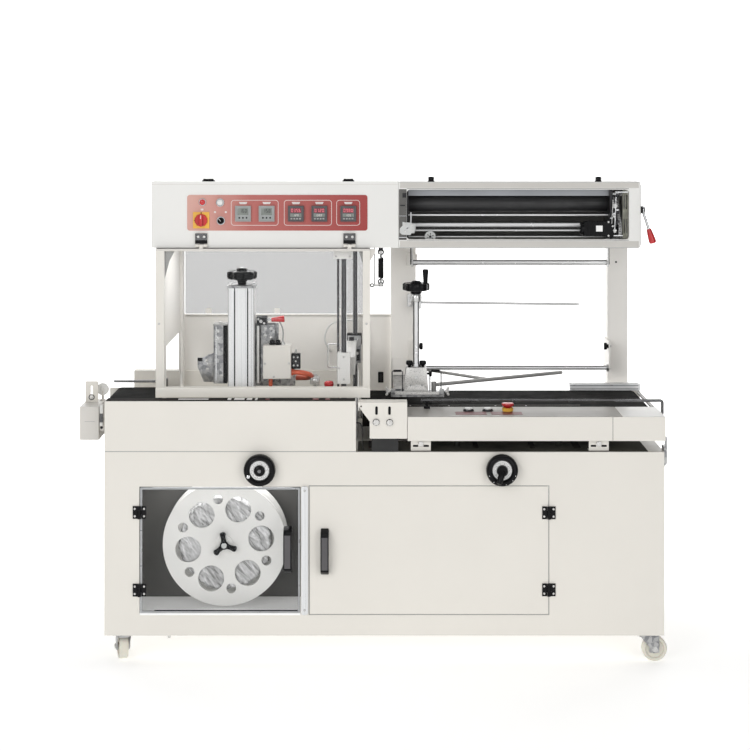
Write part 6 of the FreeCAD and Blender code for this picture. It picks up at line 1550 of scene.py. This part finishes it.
def sheet(name, prof, half, emit, col=(0.93, 0.93, 0.925)):
    """A piece of the studio's paper backdrop, swept sideways; profile is (y, z) in metres."""
    bm = bmesh.new()
    rows = [[bm.verts.new((x, y, z)) for x in (-half, half)] for y, z in prof]
    for a, b in zip(rows, rows[1:]):
        bm.faces.new((a[0], a[1], b[1], b[0]))
    bmesh.ops.recalc_face_normals(bm, faces=bm.faces)
    me = bpy.data.meshes.new(name)
    bm.to_mesh(me); bm.free()
    for p in me.polygons:
        p.use_smooth = True
    o = bpy.data.objects.new(name, me)
    scene.collection.objects.link(o)
    m = Mat(name + "_paper", col, 0.9)
    m.color(m.mix(m.remap(m.noise(0.8, 3), 0.3, 0.7), tuple(c * 0.985 for c in col), tuple(min(1, c * 1.01) for c in col)))
    m.set("Emission Color", (1, 1, 1, 1)); m.set("Emission Strength", emit)
    m.set("Specular IOR Level", 0.1)
    give(o, m.m)
    return o


sheet("studio_floor", [(-9.0, 0.0), (2.2, 0.0)], 9.0, 0.40)
sheet("studio_wall", [(2.2, 0.0)] + [(2.2 + 1.0 * math.sin(math.radians(t)), 1.0 - 1.0 * math.cos(math.radians(t))) for t in range(10, 91, 10)] + [(3.2, 6.0)], 9.0, 0.85)

w = bpy.data.worlds.new("studio")
scene.world = w
w.use_nodes = True
wt = w.node_tree
bg = wt.nodes["Background"]
tc = wt.nodes.new("ShaderNodeTexCoord")
sp = wt.nodes.new("ShaderNodeSeparateXYZ")
wt.links.new(tc.outputs["Generated"], sp.inputs[0])
mr = wt.nodes.new("ShaderNodeMapRange")
mr.inputs["From Min"].default_value = 0.30
mr.inputs["From Max"].default_value = 0.62
mr.inputs["To Min"].default_value = 0.72
mr.inputs["To Max"].default_value = 0.30
wt.links.new(sp.outputs["Z"], mr.inputs["Value"])
wt.links.new(mr.outputs[0], bg.inputs["Strength"])
bg.inputs["Color"].default_value = (1.0, 1.0, 1.0, 1)


def area(name, loc, target, sx, sy, power, color=(1, 1, 1)):
    li = bpy.data.lights.new(name, "AREA")
    li.shape = "RECTANGLE"
    li.size, li.size_y = sx, sy
    li.energy = power
    li.color = color
    lo = bpy.data.objects.new(name, li)
    scene.collection.objects.link(lo)
    lo.location = loc
    lo.rotation_euler = (Vector(target) - Vector(loc)).to_track_quat("-Z", "Y").to_euler()
    return lo


area("key_left", (-2.4, -4.4, 2.6), (0, 0, 0.7), 2.4, 2.4, 62)
area("fill_right", (2.6, -4.4, 2.0), (0, 0, 0.7), 2.4, 2.4, 34)
area("top", (0.0, 0.2, 4.0), (0, 0, 0.6), 3.0, 2.0, 26)


area("hood_fill", (-0.36, 0.0, 1.236), (-0.36, 0.0, 0.0), 0.5, 0.28, 1.5)
area("bay_fill", (-0.46, -0.23, 0.552), (-0.46, -0.23, 0.0), 0.42, 0.12, 0.55)


def flag(name, x0, y0, x1, y1, z0, z1):
    """A black studio flag, outside the picture, that draws dark lines along polished rods."""
    bm = bmesh.new()
    vs = [bm.verts.new(p) for p in ((x0, y0, z0), (x1, y1, z0), (x1, y1, z1), (x0, y0, z1))]
    bm.faces.new(vs)
    me = bpy.data.meshes.new(name)
    bm.to_mesh(me); bm.free()
    o = bpy.data.objects.new(name, me)
    scene.collection.objects.link(o)
    give(o, DARK)


flag("flag_left", -2.1, -2.0, -2.1, 1.0, 0.1, 2.6)
flag("flag_right", 2.1, -2.0, 2.1, 1.0, 0.1, 2.6)
scene.view_settings.view_transform = "Standard"
scene.view_settings.look = "None"
scene.view_settings.exposure = 0.0
scene.view_settings.gamma = 1.0
